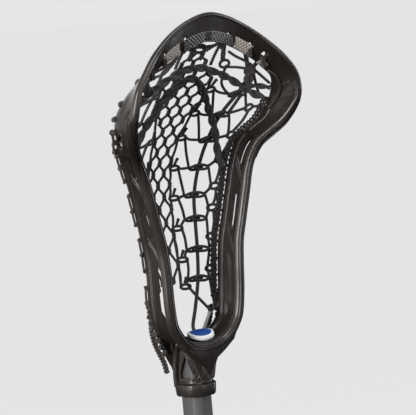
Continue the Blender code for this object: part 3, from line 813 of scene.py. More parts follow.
def throat_bars():
    """Frame round the tear window, the ladder beside it and the bars and fins up to the rails."""
    skin = Skin()
    for side in (1, -1):
        ring = [side_of_throat(y, h, side, 0.2) for y, h in rounded(TEAR, 0.2)]
        skin.tube(smooth(ring, 0.7 * MM, True), 1.0 * MM, 8, True)
        ladder = []
        for k in range(10):
            y = -13.0 + 0.62 * k - (1.7 if k % 2 else 0)
            ladder.append(side_of_throat(y, 10.5 + 2.0 * k, side, -0.1))
        skin.tube(respace(np.array(ladder), 0.6 * MM), 0.62 * MM, 6)
        for shift in (0.7, -2.6):
            edge = [side_of_throat(y + shift, h, side, 0.1) for y, h in ((-13.0, 9), (-7.2, 30))]
            skin.tube(respace(np.array(edge), 0.8 * MM), 0.7 * MM, 6)
        bar = [(13.6, 8.8, 4), (14.6, 8.0, 14), (15.0, 6.0, 24), (16.0, 2.0, 34), (19.0, -3.0, 41)]
        skin.tube(smooth([at(x, y, h, side) for x, y, h in bar], 0.9 * MM), 2.1 * MM, 10)
        skin.grid(fin_rows(side))
    return skin


def fin_rows(side):
    """The thick fin behind each side of the U, from the back rail down to the socket's back."""
    rows = []
    for t in np.linspace(0, 1, 18):
        outer = np.array((side * (38.0 - 26 * t), 6.0 + 9.0 * math.sin(2.4 * t), 74 - 58 * t))
        inner = np.array((side * (36.0 - 22.5 * t), 0.5 + 4.5 * t, 66 - 42 * t * t))
        swell = 2.3 - 0.9 * t
        flat = np.array((side * 0.55, 0.2, -0.8)) * swell * 0.5
        row = []
        for a in np.linspace(0, 2 * math.pi, 16, endpoint=False):
            share = 0.5 - 0.5 * math.cos(a)
            row.append((outer + (inner - outer) * share + flat * math.sin(a)) * MM + (0, 0, HEAD_Z))
        rows.append(row)
    return np.array(rows)


# ---------------------------------------------------------------- the head, put together
def ridge(skin, places, radius, side):
    """A raised line through (h, s, n) places of a sidewall."""
    skin.tube(smooth([wall_point(*place, side) for place in places], 0.8 * MM), radius * MM, 8)


def grain_line(skin, points, strand_r, helix_r):
    """A fine beaded line, laid from two strands."""
    skin.twist(smooth(points, 0.45 * MM), 2, strand_r * MM, helix_r * MM, 1.7 * MM, sides=5)


def ridge_lines():
    """Raised lines on the sidewalls: the beaded lines on the rail, ridges at the struts, arcs in
    the shoulder and the lip round its hollow."""
    skin = Skin()
    for side in (1, -1):
        grain_line(skin, [rim_point(h, side) for h in np.linspace(44, 214, 80)], 0.27, 0.13)
        line = [wall_point(h, 1.3, -4.15, side) for h in np.linspace(50, 190, 60)]
        grain_line(skin, line, 0.26, 0.12)
        for low, high in ((113, 133), (171, 187)):
            for shift in (0, 4.2):
                for n, size in ((1.3, 0.8), (-0.9, 0.6)):
                    route = [(high + shift - 2, -6.5, n), ((low + high) / 2 + shift, 9.5, n),
                             (low + shift - 2, 4.2, n)]
                    ridge(skin, route, size, side)
        arc = [(266, -0.5, 2.4), (257, -4, 2.6), (247, -7.5, 2.6), (237, -7.0, 2.6), (228, -3, 2.4)]
        ridge(skin, arc, 1.6, side)
        for h in (234, 246):
            ridge(skin, [(h, -7, 1.7), (h + 3, 12, 1.4), (h + 5, 5, 1.2)], 0.9, side)
        turn = np.linspace(0, 2 * math.pi, 24, endpoint=False)
        lip = [wall_point(219 + 7.0 * math.sin(a), 14.5 + 4.6 * math.cos(a), -3.5, side) for a in turn]
        skin.tube(smooth(lip, 0.7 * MM, True), 0.75 * MM, 8, True)
        facet(skin, side)
    return skin


def facet(skin, side):
    """A raised leaf-shaped land on the outside of the front rail at the shoulder."""
    def arc(h, radius, angles):
        return [wall_point(h, -radius * math.sin(a), -radius * math.cos(a), side, False) for a in angles]
    rows = []
    for t in np.linspace(0.0, 1, 40):
        angles = 0.42 + 0.66 * math.sin(math.pi * t) ** 0.75 * np.linspace(-1, 1, 12)
        rows.append(arc(190 + 46 * t, 5.35, angles) + arc(190 + 46 * t, 3.6, angles[::-1]))
    skin.grid(np.array(rows))


def rim_point(h, side):
    """On the inner front of the front rail, where the beaded line runs."""
    flat = ramp_up(h, 214, 262)
    return wall_point(h, -3.2 + 0.1 * flat, 3.3 - 0.85 * flat, side, False)


def build_head(mat):
    """The moulded head: wall band with its openings, throat and raised lines, in one piece."""
    body = loose_object("band", wall_band().mesh("band"))
    parts = [cut(body, wall_tools()), sleeve(), tongue(), tab(), back_plate()]
    parts += [throat_bars().mesh("bars"), ridge_lines().mesh("ridges")]
    bm = bmesh.new()
    for part in parts:
        bm.from_mesh(part)
    whole = bpy.data.meshes.new("head_shell")
    bm.to_mesh(whole)
    bm.free()
    return finish_piece("head_shell", whole, mat, ["head_frame"], 38)


def rib_panel(name, mat, h_low, h_high, side, s_high, s_low):
    """A patch of slanted ribs on the scoop's inner face, along its back edge.  s_high and s_low are
    how far its two edges lie in front of the back rail's middle."""
    rows, places = [], []
    for t in np.linspace(0, 1, 120):
        h = h_low + (h_high - h_low) * t
        deep = np.interp(h, HEIGHTS, DEEP[:HALF + 1])
        along = abs(wall_point(h, deep - 2, 0, side)[0]) / MM * 1.15
        places.append(along / 1.15 * MM)
        row = []
        for u in np.linspace(0, 1, 36):
            wave = ((along + 0.9 * (s_high - s_low) * u) / RIB_PITCH) % 1.0
            rib = 0.45 * min(1.0, 3.2 * min(wave, 1 - wave))
            rim = min(1.0, 8 * min(t, 1 - t, u))
            lift = 1.5 + (0.35 + rib) * rim + 0.3 * ramp_up(u, 0.2, 0.7)
            row.append(wall_point(h, deep - s_high + (s_high - s_low) * u, lift, side))
        rows.append(row)
    skin = Skin()
    rows = np.array(rows)[:, ::-side]
    skin.grid(rows, wrap=False, caps=False, along=np.array(places + places[-1:]))
    return skin.build(name, mat, [], 40)


# ---------------------------------------------------------------- the pocket's surface
POCKET_LINE = smooth([(h, y, 0) for h, y in POCKET], 1.0)


def back_rail(h):
    x = np.interp(h, (BACK[:HALF + 1, 2] - HEAD_Z) / MM, BACK[:HALF + 1, 0]) / MM
    y = np.interp(h, (BACK[:HALF + 1, 2] - HEAD_Z) / MM, BACK[:HALF + 1, 1]) / MM
    return x, y


def on_pocket(x, h, lift=0.0, side=1):
    """A point of the pocket's surface, lifted towards the open front, in metres."""
    rail_x, rail_y = back_rail(h)
    middle = np.interp(h, POCKET_LINE[:, 0], POCKET_LINE[:, 1])
    share = min((abs(x) / max(rail_x, 1)) ** 2, 1.5)
    return at(x, middle + (rail_y - middle) * share - lift, h, side)


def oval(skin, x, h, side, half_wide, half_high, depth, tilt=0.0, sign=1):
    """A flattened ring of lace in the pocket's surface.  depth swings its upper run forward, or
    its lower run where sign is -1."""
    pts = []
    for a in np.linspace(0, 2 * math.pi, 20, endpoint=False):
        dx, dh = half_wide * math.cos(a), half_high * math.sin(a)
        px = x + dx * math.cos(tilt) - dh * math.sin(tilt)
        ph = h + dx * math.sin(tilt) + dh * math.cos(tilt)
        pts.append(on_pocket(px, ph, sign * depth * math.sin(a), side))
    skin.tube(smooth(pts, 0.7 * MM, True), LACE_R, 8, True)


def lace(skin, points, side):
    """A smooth lace through (x, h, lift) points of the pocket."""
    skin.tube(smooth([on_pocket(x, h, lift, side) for x, h, lift in points], 0.9 * MM), LACE_R, 8)


def loop(skin, points, side, radius=1.05, step=0.8, sides=7):
    """A cord through (x, y, h) points, all in millimetres."""
    line = smooth([at(x, y, h, side) for x, y, h in points], step * MM)
    skin.tube(line, radius * MM, sides)


def by_rail(h, out, back, side=1):
    """A point beside the back rail at a height, so far outwards and backwards of it."""
    x, y = back_rail(h)
    return at(x + out, y + back, h, side)


def lump(skin, centre, size, radius, turn=0.0):
    """A small overhand knot: three tight loops in different planes."""
    centre = np.array(centre, float)
    for k in range(3):
        tilt = turn + k * math.pi / 3
        a = np.linspace(0, 2 * math.pi, 14, endpoint=False)
        u = np.array((math.cos(tilt), math.sin(tilt), 0.25 * (k - 1)))
        v = np.array((-0.3 * math.sin(tilt), 0.3 * math.cos(tilt), 1.0))
        shift = 0.25 * size * np.array((math.sin(2.1 * k + turn), math.cos(1.7 * k), 0.6 * (k - 1)))
        ring = centre + shift + size * 0.62 * (np.cos(a)[:, None] * u + 0.8 * np.sin(a)[:, None] * v)
        skin.tube(smooth(ring, 0.7 * MM, True), radius, 7, True)


# ---------------------------------------------------------------- strings
def build_runner(side, word, mat):
    """The flat strap that runs up the pocket through its column of knots."""
    skin = Skin()
    route = [(12.5, 45.5), (14.5, 51), (21, 66)] + RUNNER_KNOTS[::-1] + [(59.5, 254)]
    line = smooth([on_pocket(x, h, 0.2 * math.sin(0.7 * h), side) for x, h in route], 1.0 * MM)
    skin.tube(line, 1.9 * MM, 12, flat=0.74, lift=(0.25 * side, -1, 0.1))
    second = [(57.5, 243), (55.5, 238), (53.5, 233.5), (51.4, 229.5)]
    line = smooth([on_pocket(x + 2.6, h, 1.5, side) for x, h in second], 1.0 * MM)
    skin.tube(line, 1.7 * MM, 12, flat=0.74, lift=(0.25 * side, -1, 0.1))
    return skin.build("runner_strap_" + word, mat, ["runner_" + word])


def build_inner_laces(side, word, mat):
    """Rings on the net's edge, their laces to the runner, and the left ovals of the runner's knots."""
    skin = Skin()
    for k, (x, h) in enumerate(MESH_KNOTS):
        oval(skin, x, h, side, 3.9, 2.0, 1.0, tilt=-0.12)
        cx, ch = RUNNER_KNOTS[k]
        lace(skin, [(x + 3.8, h - 0.3, 0.5), (x + 0.5 * (cx - 7 - x), h + 0.45 * (ch - h) - 0.6, 0.2),
                    (cx - 7.2, ch + 0.4, 0)], side)
        if k + 1 < len(RUNNER_KNOTS):
            dx, dh = RUNNER_KNOTS[k + 1]
            lace(skin, [(x + 3.9, h - 1.2, -0.3), (x + 0.45 * (dx - 7 - x) + 2.5, h + 0.5 * (dh - h), 0),
                        (dx - 7.3, dh - 0.4, 0)], side)
    for x, h in RUNNER_KNOTS:
        oval(skin, x - 1.9, h, side, 4.7, 1.95, 2.2, tilt=0.1)
    return skin.build("inner_laces_" + word, mat, ["interlace_" + word])


def build_outer_laces(side, word, mat):
    """The right ovals of the runner's knots, the sidewall's rings and the laces between them."""
    skin = Skin()
    for x, h in RUNNER_KNOTS:
        oval(skin, x + 1.9, h, side, 4.7, 1.95, 2.2, tilt=-0.02, sign=-1)
    for k, (x, h) in enumerate(WALL_KNOTS):
        oval(skin, x, h, side, 3.0, 2.5, 0.8, tilt=0.3)
        for row in (k, k + 1):
            cx, ch = RUNNER_KNOTS[row]
            start = (cx + 7.2, ch + (0.5 if row == k + 1 else -0.5), 0)
            middle = (0.55 * (cx + 7.2) + 0.45 * (x - 2), 0.55 * ch + 0.45 * h, 0.2)
            lace(skin, [start, middle, (x - 2.2, h, 0.4)], side)
        if k + 1 < len(WALL_KNOTS):
            nx, nh = WALL_KNOTS[k + 1]
            middle = (0.5 * (x + nx) + 1.2, 0.5 * (h + nh), 0.3)
            lace(skin, [(x + 0.6, h - 2, 0), middle, (nx + 0.8, nh + 2, 0)], side)
        inside = on_pocket(x + 2.2, h, 0.3, side)
        at_rail = by_rail(h, -2.5, 3.6, side) - (0, 0, MM)
        skin.tube(smooth([inside, (inside + at_rail) / 2 + (0, 0, 0.8 * MM), at_rail], 0.9 * MM), LACE_R, 8)
    return skin.build("outer_laces_" + word, mat, ["crosslace_" + word])


def outside_knots(skin, side):
    """Knots along the back rail, each with its hook round the rail, and loops between them."""
    knots = [78, 91, 105, 119, 132, 145, 157, 170, 182, 194, 204]
    for i, h in enumerate(knots):
        x, y = back_rail(h)
        lump(skin, at(x - 4.4, y + 4.6, h, side), 2.3 * MM, 1.1 * MM, 0.9 * i)
        hook = [(x - 3.4, y + 4.6, h), (x + 0.8, y + 4.6, h + 0.7), (x + 3.0, y + 3.2, h + 1.0)]
        loop(skin, hook, side)
        size = 2.7 if i % 3 == 0 else 2.0
        lump(skin, at(x + 2.4, y + 2.9, h + 1, side), size * MM, 0.85 * MM, 0.5 * i)
        if i + 1 < len(knots) and i % 3 != 1:
            route = []
            for t in np.linspace(0, 1, 5):
                g = h + 1 + (knots[i + 1] - h) * t
                route.append(by_rail(g, 2.9 + 0.4 * math.sin(math.pi * t), 2.8, side))
            skin.tube(smooth(route, 0.8 * MM), 1.0 * MM, 7)


def fixed_lumps(skin, side):
    """The clustered knots where the string is tied off beside the throat."""
    places = [(38.4, 6.4, 75), (38.8, 5.4, 71), (38.0, 7.2, 67), (38.2, 5.6, 63), (37.4, 5.4, 58),
              (35.0, 4.8, 52), (32.4, 5.2, 46), (29.4, 5.8, 40), (26.4, 6.2, 34)]
    for k, place in enumerate(places):
        lump(skin, at(*place, side), 2.5 * MM, 1.2 * MM, 1.1 * k)


def shoulder_chain(skin, side):
    """The plaited chain across the shoulder, with knots on it and outside the rail."""
    chain = [by_rail(206 + 32 * t, -5.2 - 1.4 * math.sin(3 * t), 2.6, side) for t in np.linspace(0, 1, 9)]
    skin.plait(smooth(chain, 0.7 * MM), 1.05 * MM, 2.5 * MM, 11 * MM, 7, 1.4)
    for t in (0.1, 0.4, 0.7, 0.95):
        lump(skin, by_rail(206 + 32 * t, -3.2, 2.8, side), 2.4 * MM, 1.05 * MM, 7 * t)
    outside = [(209, 3.4, 2.5), (217, 3.8, 2.2), (226, 3.6, 2.6), (237, 2.6, 2.1), (249, 2.2, 2.2)]
    for h, out, size in outside:
        x, y = back_rail(h)
        lump(skin, at(x + out - 0.8, y + 3.0, h, side), 1.15 * size * MM, 0.95 * MM, h)
        loop(skin, [(x - 3, y + 3.4, h - 2), (x + 1, y + 4.2, h - 1), (x + out, y + 3.2, h)], side)
    for low, high in ((209, 217), (217, 226)):
        route = [by_rail(h, 3.8, 3.0, side) for h in np.linspace(low, high, 4)]
        skin.tube(smooth(route, 0.8 * MM), 1.2 * MM, 7)


def build_wall_string(side, word, mat):
    """The sidewall string: a plaited run behind the back rail, its knots and its shoulder chain."""
    skin = Skin()
    path = [by_rail(h, -4.6, 4.0, side) for h in np.linspace(74, 207, 30)]
    skin.plait(smooth(path, 0.7 * MM), 1.15 * MM, 1.9 * MM, 13 * MM, 7, 1.2)
    outside_knots(skin, side)
    fixed_lumps(skin, side)
    shoulder_chain(skin, side)
    return skin.build("wall_string_" + word, mat, ["sidewall_string_" + word])


def build_bottom_ties(side, word, mat):
    """Laces from the lowest knots down to the throat."""
    skin = Skin()
    lace(skin, [(33.5, 89, 0), (33.8, 76, 0.3), (34, 62, 0.6)], side)
    lace(skin, [(19.5, 83, -1.6), (25, 74, -1.9), (31.5, 61, 0)], side)
    lace(skin, [(34.5, 96, 0.2), (35.4, 84, 0.3), (35.4, 72, 0.5)], side)
    return skin.build("bottom_ties_" + word, mat, ["throat_tie_" + word])


def build_scoop_wraps(side, word, mat):
    """The big knot at the runner's top and the doubled loops that hang it from two scoop holes."""
    skin = Skin()
    knot = at(59.5, -36.5, 261, side)
    lump(skin, knot, 4.6 * MM, 2.5 * MM, 0.4)
    lump(skin, knot + (side * -3.4 * MM, -1.6 * MM, -5.0 * MM), 3.8 * MM, 2.2 * MM, 1.3)
    lump(skin, knot + (side * 3.2 * MM, 1.2 * MM, 2.6 * MM), 3.6 * MM, 2.1 * MM, 2.2)
    lump(skin, knot + (side * -1.0 * MM, -1.0 * MM, 5.6 * MM), 2.8 * MM, 1.8 * MM, 0.2)
    for (hx, hh), spread in ((HOLES[1], -1), (HOLES[2], 1)):
        for k in (-1, 1):
            start = knot + (side * (spread * 1.5 + k * 0.8) * MM, 0, 2.5 * MM)
            top = at(hx + k * 1.1, -46.2, hh - 1.2, side)
            mid = (start + top) / 2 + (side * spread * 1.2 * MM, -1.0 * MM, 0)
            over = top + (0, -4.6 * MM, -1.6 * MM)
            down = over + (0, -0.2 * MM, -6.5 * MM)
            skin.tube(smooth([start, mid, top, over, down], 0.8 * MM), 1.35 * MM, 8)
    return skin.build("scoop_wraps_" + word, mat, ["scoop_lace_" + word])


def build_middle_wraps(mat):
    """The ring over the net's top and the twisted wraps that hang it from the middle holes."""
    skin = Skin()
    centre = at(0.5, -42.6, 286)
    a = np.linspace(0, 2 * math.pi, 22, endpoint=False)
    ring = centre + np.column_stack([6.8 * np.cos(a), 0.8 * np.sin(2 * a), 3.1 * np.sin(a)]) * MM
    skin.twist(smooth(ring, 0.5 * MM, True), 2, 0.78 * MM, 0.72 * MM, 4.2 * MM, closed=True)
    ring = centre + np.column_stack([5.9 * np.cos(a), 1.6 + 0.7 * np.sin(a), -1.2 + 2.2 * np.sin(a)]) * MM
    skin.twist(smooth(ring, 0.5 * MM, True), 2, 0.72 * MM, 0.66 * MM, 4.2 * MM, closed=True)
    hx, hh = HOLES[0]
    for side in (1, -1):
        for k in range(3):
            start = centre + (side * (6.4 + 0.6 * k) * MM, (0.8 * k - 0.8) * MM, (1.2 - 1.6 * k) * MM)
            top = at(hx - 1.6 + 1.5 * k, -47.6, hh - 1.6, side)
            mid = (start + top) / 2 + (side * 1.5 * MM, 1.2 * MM, (-2.2 + k) * MM)
            over = top + (0, -5.8 * MM, -0.8 * MM)
            end = over + (side * 0.4 * MM, -0.2 * MM, -5.5 * MM)
            skin.twist(smooth([start, mid, top, over, end], 0.5 * MM), 2, 0.72 * MM, 0.66 * MM, 4.0 * MM, k)
        lump(skin, at(21.5, -45.2, 287, side), 3.6 * MM, 1.5 * MM, 1.0)
    return skin.build("scoop_wraps_middle", mat, ["scoop_lace_middle"])


def scoop_to(skin, route, side):
    """A lace through (x, y, h) points near the scoop."""
    loop(skin, route, side, LACE_R / MM, 0.9, 8)


def build_scoop_ties(side, word, mat):
    """Laces from the middle wraps across to the big knot, with their ring."""
    skin = Skin()
    scoop_to(skin, [(29, -45.8, 281), (37, -45, 276.5), (46, -43.5, 273), (55, -41, 269.5)], side)
    oval(skin, 33, 271, side, 4.4, 2.6, 0.9, tilt=-0.5)
    lace(skin, [(36.5, 268, 0.3), (46, 266.8, 0.6), (56, 264.5, 1.2)], side)
    for k in range(2):
        pts = [on_pocket(30.5 - 1.4 * k, 273.5, 0.5, side), on_pocket(27.5 - 1.6 * k, 280, 0.4, side),
               at(24.6 - k, -47.8, 293, side)]
        skin.twist(smooth(pts, 0.6 * MM), 2, 0.8 * MM, 0.75 * MM, 5 * MM, 1.3 * k)
    return skin.build("scoop_ties_" + word, mat, ["scoop_tie_" + word])


def build_shoulder_ties(side, word, mat):
    """Laces from the big knot out to the shoulder."""
    skin = Skin()
    scoop_to(skin, [(63.5, -38.5, 263), (72, -37.5, 257), (81, -36.5, 250.5)], side)
    scoop_to(skin, [(63.5, -37, 260), (70, -32, 250), (77, -27.5, 240.5)], side)
    return skin.build("shoulder_ties_" + word, mat, ["shoulder_tie_" + word])


def build_top_drops(side, word, mat):
    """The lace from the top ring down to the first knot on the runner."""
    skin = Skin()
    lace(skin, [(35.8, 269, 0), (36.2, 262, 0.2), (39, 254, 0.2), (45.5, 247.5, 0), (50, 244.5, 0)], side)
    return skin.build("top_drop_lace_" + word, mat, ["top_drop_" + word])


def shooter_line(half):
    route = [(-x, h) for x, h in reversed(half[1:])] + half
    return smooth([on_pocket(x, h, SHOOTER_LIFT) for x, h in route], 0.8 * MM)


def build_shooters(mat):
    """The two shooting strings: thick soft strands laid round each other across the pocket."""
    for name, half, node in (("shooter_upper", UPPER_SHOOTER, "upper_shooting_string"),
                             ("shooter_lower", LOWER_SHOOTER, "lower_shooting_string")):
        skin = Skin()
        skin.twist(shooter_line(half), 2, 1.95 * MM, 1.55 * MM, 27 * MM, 0.6, 10)
        if half is UPPER_SHOOTER:
            for side in (1, -1):
                branch = [(54, 250.5, 5.5), (63, 249.5, 5.0), (72, 248.5, 3.5), (80, 246.5, 1.5)]
                line = smooth([on_pocket(x, h, lift, side) for x, h, lift in branch], 0.8 * MM)
                skin.twist(line, 2, 1.45 * MM, 1.15 * MM, 24 * MM, 1.0, 10)
        skin.build(name, mat, [node])


def net_height(row):
    share = row / (NET_ROWS - 1)
    return 281 - 150 * share - 41 * share ** 3


def net_span(height):
    for low, span in NET_SPAN:
        if height >= low:
            return span
    return NET_SPAN[-1][1]


def net_knots():
    """Middle of each of the net's joins, by row and by half diamonds from the middle."""
    knots = {}
    for row in range(NET_ROWS):
        height = net_height(row)
        pitch = np.interp(height, *zip(*NET_PITCH))
        for m in range(-net_span(height), net_span(height) + 1):
            if (m + row) % 2:
                knots[row, m] = (m * pitch, height)
    return knots


def net_cord(skin, points, phase, strand=(0.7, 0.58, 3.2)):
    """A two-ply cord of the net.  strand is its strands' radius, helix radius and pitch."""
    strand_r, helix_r, pitch = (value * MM for value in strand)
    skin.twist(smooth(points, 0.5 * MM), 2, strand_r, helix_r, pitch, phase, 6)


def diamond_side(x, h, bx, bh, step):
    """Points from one join to the next one below it, leaving both nearly straight."""
    drop = 0.22 * (h - bh - 2 * NET_JOIN)
    top, foot = h - NET_JOIN, bh + NET_JOIN
    return [on_pocket(x + 0.5 * step, top + 0.3), on_pocket(x + 0.32 * (bx - x), top - drop - 0.4),
            on_pocket(0.5 * (x + bx), 0.5 * (top + foot)),
            on_pocket(x + 0.68 * (bx - x), foot + drop + 0.4), on_pocket(bx - 0.5 * step, foot - 0.3)]


def edge_joins(knots, side):
    """The outermost joins on one side, counting each row with the rows next to it."""
    out = []
    for (row, _), (x, h) in knots.items():
        near = [abs(q[0]) for (r, _), q in knots.items() if abs(r - row) <= 1]
        if x * side > 0.9 * max(near):
            out.append((x, h))
    return out


def net_edge(skin, knots, side):
    """Cords from the net's edge to its rings, and the frayed stub above each ring."""
    joins = edge_joins(knots, side)
    for k, (x, h) in enumerate(MESH_KNOTS):
        for kx, kh in sorted(joins, key=lambda q: abs(q[1] - h))[:2]:
            drop = -1.5 if kh > h else 1.5
            middle = on_pocket(0.5 * (abs(kx) + x - 3.5) + 0.6, 0.5 * (kh + h), 0.3, side)
            start = on_pocket(abs(kx), kh + drop, 0, side)
            net_cord(skin, [start, middle, on_pocket(x - 3.9, h, 0.2, side)], k)
        stub = [(x - 1.0, h + 1.8, 0.6), (x - 0.4, h + 5.0, 1.3), (x + 0.5, h + 8.2, 1.9)]
        line = smooth([on_pocket(*place, side) for place in stub], 0.5 * MM)
        skin.twist(line, 3, 0.62 * MM, 0.7 * MM, 3.4 * MM, k, 6, fray=0.5)


def build_net(mat):
    """The net: two-ply cords that join in short twists, diamond by diamond."""
    skin = Skin()
    knots = net_knots()
    for (row, m), (x, h) in knots.items():
        join = [on_pocket(x, h + NET_JOIN), on_pocket(x + 0.2, h), on_pocket(x, h - NET_JOIN)]
        phase = 0.9 * m + 0.7 * row
        skin.twist(smooth(join, 0.5 * MM), 2, 1.12 * MM, 0.85 * MM, 4.6 * MM, phase, 7)
        for step in (-1, 1):
            below = knots.get((row + 1, m + step))
            if below:
                net_cord(skin, diamond_side(x, h, *below, step), 0.4 * m)
    for side in (1, -1):
        net_edge(skin, knots, side)
    for m in (-3, -1, 1, 3):
        inner = abs(m) == 1
        top = on_pocket(m * 6.6, 277 if inner else 271.5)
        goal = at(m * 3.4, -42.5, 283.6) if inner else at(m * 6.6, -46.8, 289)
        net_cord(skin, [top, (top + goal) / 2 + (0, 0.6 * MM, 0), goal], m, (0.8, 0.72, 4.4))
    return skin.build("pocket_net", mat, ["pocket_mesh"])


def build_tail(side, word, mat):
    """The loose plaited end of the sidewall string, hanging behind the throat."""
    route = smooth([at(*place, side) for place in TAIL_ROUTE], 0.6 * MM)
    skin = Skin()
    skin.plait(route, 1.15 * MM, 1.35 * MM, 9 * MM, 8, 1.0)
    tail = skin.build("tail_" + word, mat, ["string_tail_" + word])
    return tail


# ---------------------------------------------------------------- shaft, cap, screw and pad
def shrunk(amount):
    """The shaft's octagon with each flat moved in."""
    return SHAFT_WIDTH - 2 * amount, SHAFT_DEPTH - 2 * amount, SHAFT_CHAMFER - 0.6 * amount


def build_shaft(mat):
    """The tube, open at both ends, with its ends' outer edges taken off."""
    low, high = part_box("shaft")[0].z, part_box("shaft")[1].z
    edge = 0.3 * MM
    size, less, thin = shrunk(0), shrunk(edge), shrunk(SHAFT_WALL)
    sections = [(low, *less), (low + edge, *size)]
    sections += [(z, *size) for z in np.linspace(low + 0.02, high - 0.02, 40)]
    sections += [(high - edge, *size), (high, *less), (high, *thin), (low, *thin)]
    skin = Skin()
    skin.grid(octagon_rows(sections), closed=True)
    return skin.build("shaft_tube", mat, ["shaft"], 12)


def build_cap(mat):
    """Rubber butt cap with grip rings and a soft rounded end."""
    rows = [(0, -3.5), (0.15, -1.2), (0.7, 0.7), (1.6, 1.8), (3, 2.5)]
    for k in range(26):
        h = 4.5 + k
        ring = 0.28 * math.cos(2 * math.pi * (h - 4.5) / 3.25) if 5 < h < 27 else 0
        body = np.interp(h, [2, 10, 20, 30], [2.4, 3.35, 3.15, 2.2])
        rows.append((h, body - 0.05 + 0.5 * min(ring, 0)))
    rows += [(31.5, 1.9), (32.6, 1.4), (33, 0.8), (33, 0.35), (3.6, 0.35), (3.2, -4)]
    sections = []
    for h, wall in rows:
        w = wall * MM
        chamfer = SHAFT_CHAMFER + 0.9 * w
        sections.append((h * MM, SHAFT_WIDTH + 2 * w, SHAFT_DEPTH + 2 * w, max(chamfer, 1.5 * MM)))
    skin = Skin()
    skin.grid(octagon_rows(sections))
    return skin.build("butt_cap_rubber", mat, ["butt_cap"], 30)


def build_screw(mat):
    """Pan-head screw behind the throat, with a cross recess."""
    wall = SHAFT_DEPTH / 2 + 3.4 * MM
    profile = [(0.0, 2.3), (1.2, 2.28), (2.4, 2.05), (3.3, 1.55), (3.75, 1.0), (3.9, 0.6), (3.8, 0.3),
               (1.9, 0.3), (1.85, -6.6), (0.9, -8.2), (0.0, -8.4)]
    turn = np.linspace(0, 2 * math.pi, 48, endpoint=False)
    rows = []
    for r, z in profile:
        r = max(r, 0.02)
        rows.append(np.column_stack([np.cos(turn) * r, np.full(48, z), -np.sin(turn) * r]))
    skin = Skin()
    skin.grid(np.array(rows)[::-1] * MM + (0, wall, HEAD_Z + SCREW_HEIGHT * MM))
    tools = []
    z = HEAD_Z / MM + SCREW_HEIGHT
    for wide, tall in ((0.42, 1.9), (1.9, 0.42)):
        corners = [(-wide, z - tall), (wide, z - tall), (wide, z + tall), (-wide, z + tall)]
        outline = [(a * MM, b * MM) for a, b in corners]
        tools.append(prism("cross", outline, wall + 1.0 * MM, wall + 4 * MM, 1))
    cut_out = cut(loose_object("screw", skin.mesh("screw")), tools)
    return finish_piece("screw_pan_head", cut_out, mat, ["head_screw"], 35)


def oval_pad(reach, width, lift, thick, crown):
    """An oval cushion that follows the curved throat floor and leans back."""
    rows = []
    turn = np.linspace(0, 2 * math.pi, 56, endpoint=False)
    layers = [(0.15, 0.0), (0.7, 0.0), (0.95, 0.02), (1.0, 0.2), (1.0, 0.75), (0.965, 0.93),
              (0.88, 1.0), (0.6, 1.0 + 0.7 * crown), (0.3, 1.0 + crown), (0.05, 1.0 + crown)]
    for share, level in layers:
        x = reach * share * np.sign(np.cos(turn)) * np.abs(np.cos(turn)) ** 0.85
        y = 0.5 * width * share * np.sin(turn)
        z = PAD_BASE + lift + 0.0065 * x * x + 0.0000125 * x ** 4 + PAD_TILT * y + level * thick
        rows.append(np.column_stack([x * MM, (y - PAD_FRONT) * MM, HEAD_Z + z * MM]))
    return np.array(rows)


def build_pad(foam, blue):
    """The foam ball stop with its plain blue printed face."""
    skin = Skin()
    skin.grid(oval_pad(13.5, 15, 0.4, 3.4, 0.06))
    pad = skin.build("foam_ball_stop", foam, ["ball_stop_pad"], 40)
    skin = Skin()
    skin.grid(oval_pad(10.7, 11.4, 4.15, 0.5, 0.15))
    skin.build("printed_oval", blue, ["ball_stop_print"], 40)


# ---------------------------------------------------------------- studio
def area_light(name, place, target, size, power, colour=(1, 1, 1)):
    """A rectangular light that looks at the target."""
    data = bpy.data.lights.new(name, "AREA")
    data.shape = "RECTANGLE"
    data.size, data.size_y = size
    data.energy = power
    data.color = colour
    lamp = bpy.data.objects.new(name, data)
    lamp.location = place
    lamp.rotation_euler = (Vector(target) - Vector(place)).to_track_quat("-Z", "Y").to_euler()
    bpy.context.scene.collection.objects.link(lamp)


def build_world():
    """Pale surroundings that the camera sees and that light nothing."""
    world = bpy.data.worlds.new("studio")
    world.use_nodes = True
    pale = world.node_tree.nodes["Background"]
    pale.inputs["Color"].default_value = (0.79, 0.79, 0.79, 1)
    pale.inputs["Strength"].default_value = 1.0
    world.cycles_visibility.diffuse = False
    world.cycles_visibility.glossy = False
    bpy.context.scene.world = world
    bpy.context.scene.view_settings.view_transform = "Standard"


def build_floor():
    """A pale floor that glows a little and is left out of bounced and mirrored light."""
    bm = bmesh.new()
    bmesh.ops.create_circle(bm, cap_ends=True, segments=96, radius=60)
    data = bpy.data.meshes.new("floor")
    bm.to_mesh(data)
    bm.free()
    n = Nodes("floor_paint")
    colour = n.ramp(n.noise(3, 2, 0.5), [(0.3, (0.10, 0.10, 0.10)), (0.7, (0.11, 0.11, 0.11))])
    n.shader.inputs["Emission Color"].default_value = (1, 1, 1, 1)
    n.shader.inputs["Emission Strength"].default_value = 0.775
    rough = n.span(n.noise(40), 0.85, 0.95)
    normal = n.bump(n.noise(300), 0.0002, 0.2)
    data.materials.append(n.done(colour, rough, normal, Specular_IOR_Level=0.1))
    floor = loose_object("floor", data)
    floor.visible_diffuse = False
    floor.visible_glossy = False


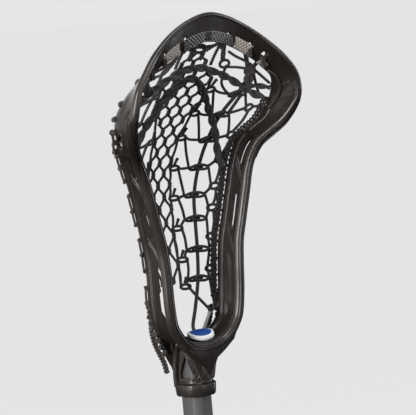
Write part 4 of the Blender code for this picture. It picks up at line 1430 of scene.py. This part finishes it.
def build_lights():
    """Soft lights round the head, the key from the left."""
    head = (0, -0.02, HEAD_Z + 0.16)
    warm = (1, 0.96, 0.93)
    area_light("key", (-2.0, -0.5, 1.4), head, (0.7, 1.8), 76, warm)
    area_light("top", (0.0, -0.7, 2.7), head, (1.3, 0.8), 22)
    area_light("fill", (0.4, -2.6, 1.5), head, (2.6, 2.2), 30, (1, 0.97, 0.95))
    area_light("left", (-1.9, 1.0, 1.0), head, (0.35, 1.8), 17, warm)
    area_light("right", (1.7, -0.7, 1.2), head, (0.35, 1.7), 14)
    area_light("edge", (0.9, 1.6, 1.7), head, (0.8, 1.6), 5)
    area_light("back", (0.2, 2.4, 1.4), head, (2.0, 2.0), 16)


# ---------------------------------------------------------------- put it together
def main():
    add_camera()
    wall_cord = cord_material("wall_cord", (0.020, 0.0178, 0.0165), (0.042, 0.038, 0.036),
                              0.5, 1.3, 6)
    net_mat = cord_material("net_cord", (0.028, 0.025, 0.023), (0.062, 0.057, 0.054),
                            fuzz=0.8, rough=0.8)
    lace_cord = cord_material("lace_cord", (0.034, 0.030, 0.028), (0.060, 0.055, 0.052),
                              0.35, 1.0, 6, 0.6)
    strap_cord = cord_material("runner_strap", (0.032, 0.028, 0.027), (0.062, 0.056, 0.053),
                               0.5, 1.2, 10, 0.65)
    shooter_cord = cord_material("shooter_cord", (0.036, 0.034, 0.032), (0.066, 0.062, 0.058),
                                 0.45, 1.2, 9, 0.78)
    for side, word in ((1, "right"), (-1, "left")):
        build_tail(side, word, wall_cord)
    build_head(head_material())
    # painted highlight: the dark panel's pale stripes stand in for the sheen on its glossy ribs
    slate = panel_material("scoop_panel_dark", (0.024, 0.027, 0.034), (0.20, 0.19, 0.185), 8.7)
    stone = panel_material("scoop_panel_light", (0.44, 0.41, 0.37), (0.09, 0.08, 0.075), 9.2)
    for side, word in ((1, "right"), (-1, "left")):
        rib_panel("scoop_panel_middle_" + word, slate, 303.5, 311, side, 6.5, -2.2)
        rib_panel("scoop_panel_side_" + word, stone, 289.0, 301.0, side, 7.0, -2.2)
        rib_panel("scoop_panel_tip_" + word, stone, 270.5, 279.0, side, 4.2, -2.2)
        build_runner(side, word, strap_cord)
        build_inner_laces(side, word, lace_cord)
        build_outer_laces(side, word, lace_cord)
        build_wall_string(side, word, wall_cord)
        build_bottom_ties(side, word, lace_cord)
        build_scoop_wraps(side, word, wall_cord)
        build_scoop_ties(side, word, lace_cord)
        build_shoulder_ties(side, word, lace_cord)
        build_top_drops(side, word, lace_cord)
    build_middle_wraps(wall_cord)
    build_shooters(shooter_cord)
    build_net(net_mat)
    build_shaft(shaft_material())
    build_cap(rubber_material())
    build_screw(steel_material())
    build_pad(foam_material(), print_material())
    build_world()
    build_floor()
    build_lights()


main()
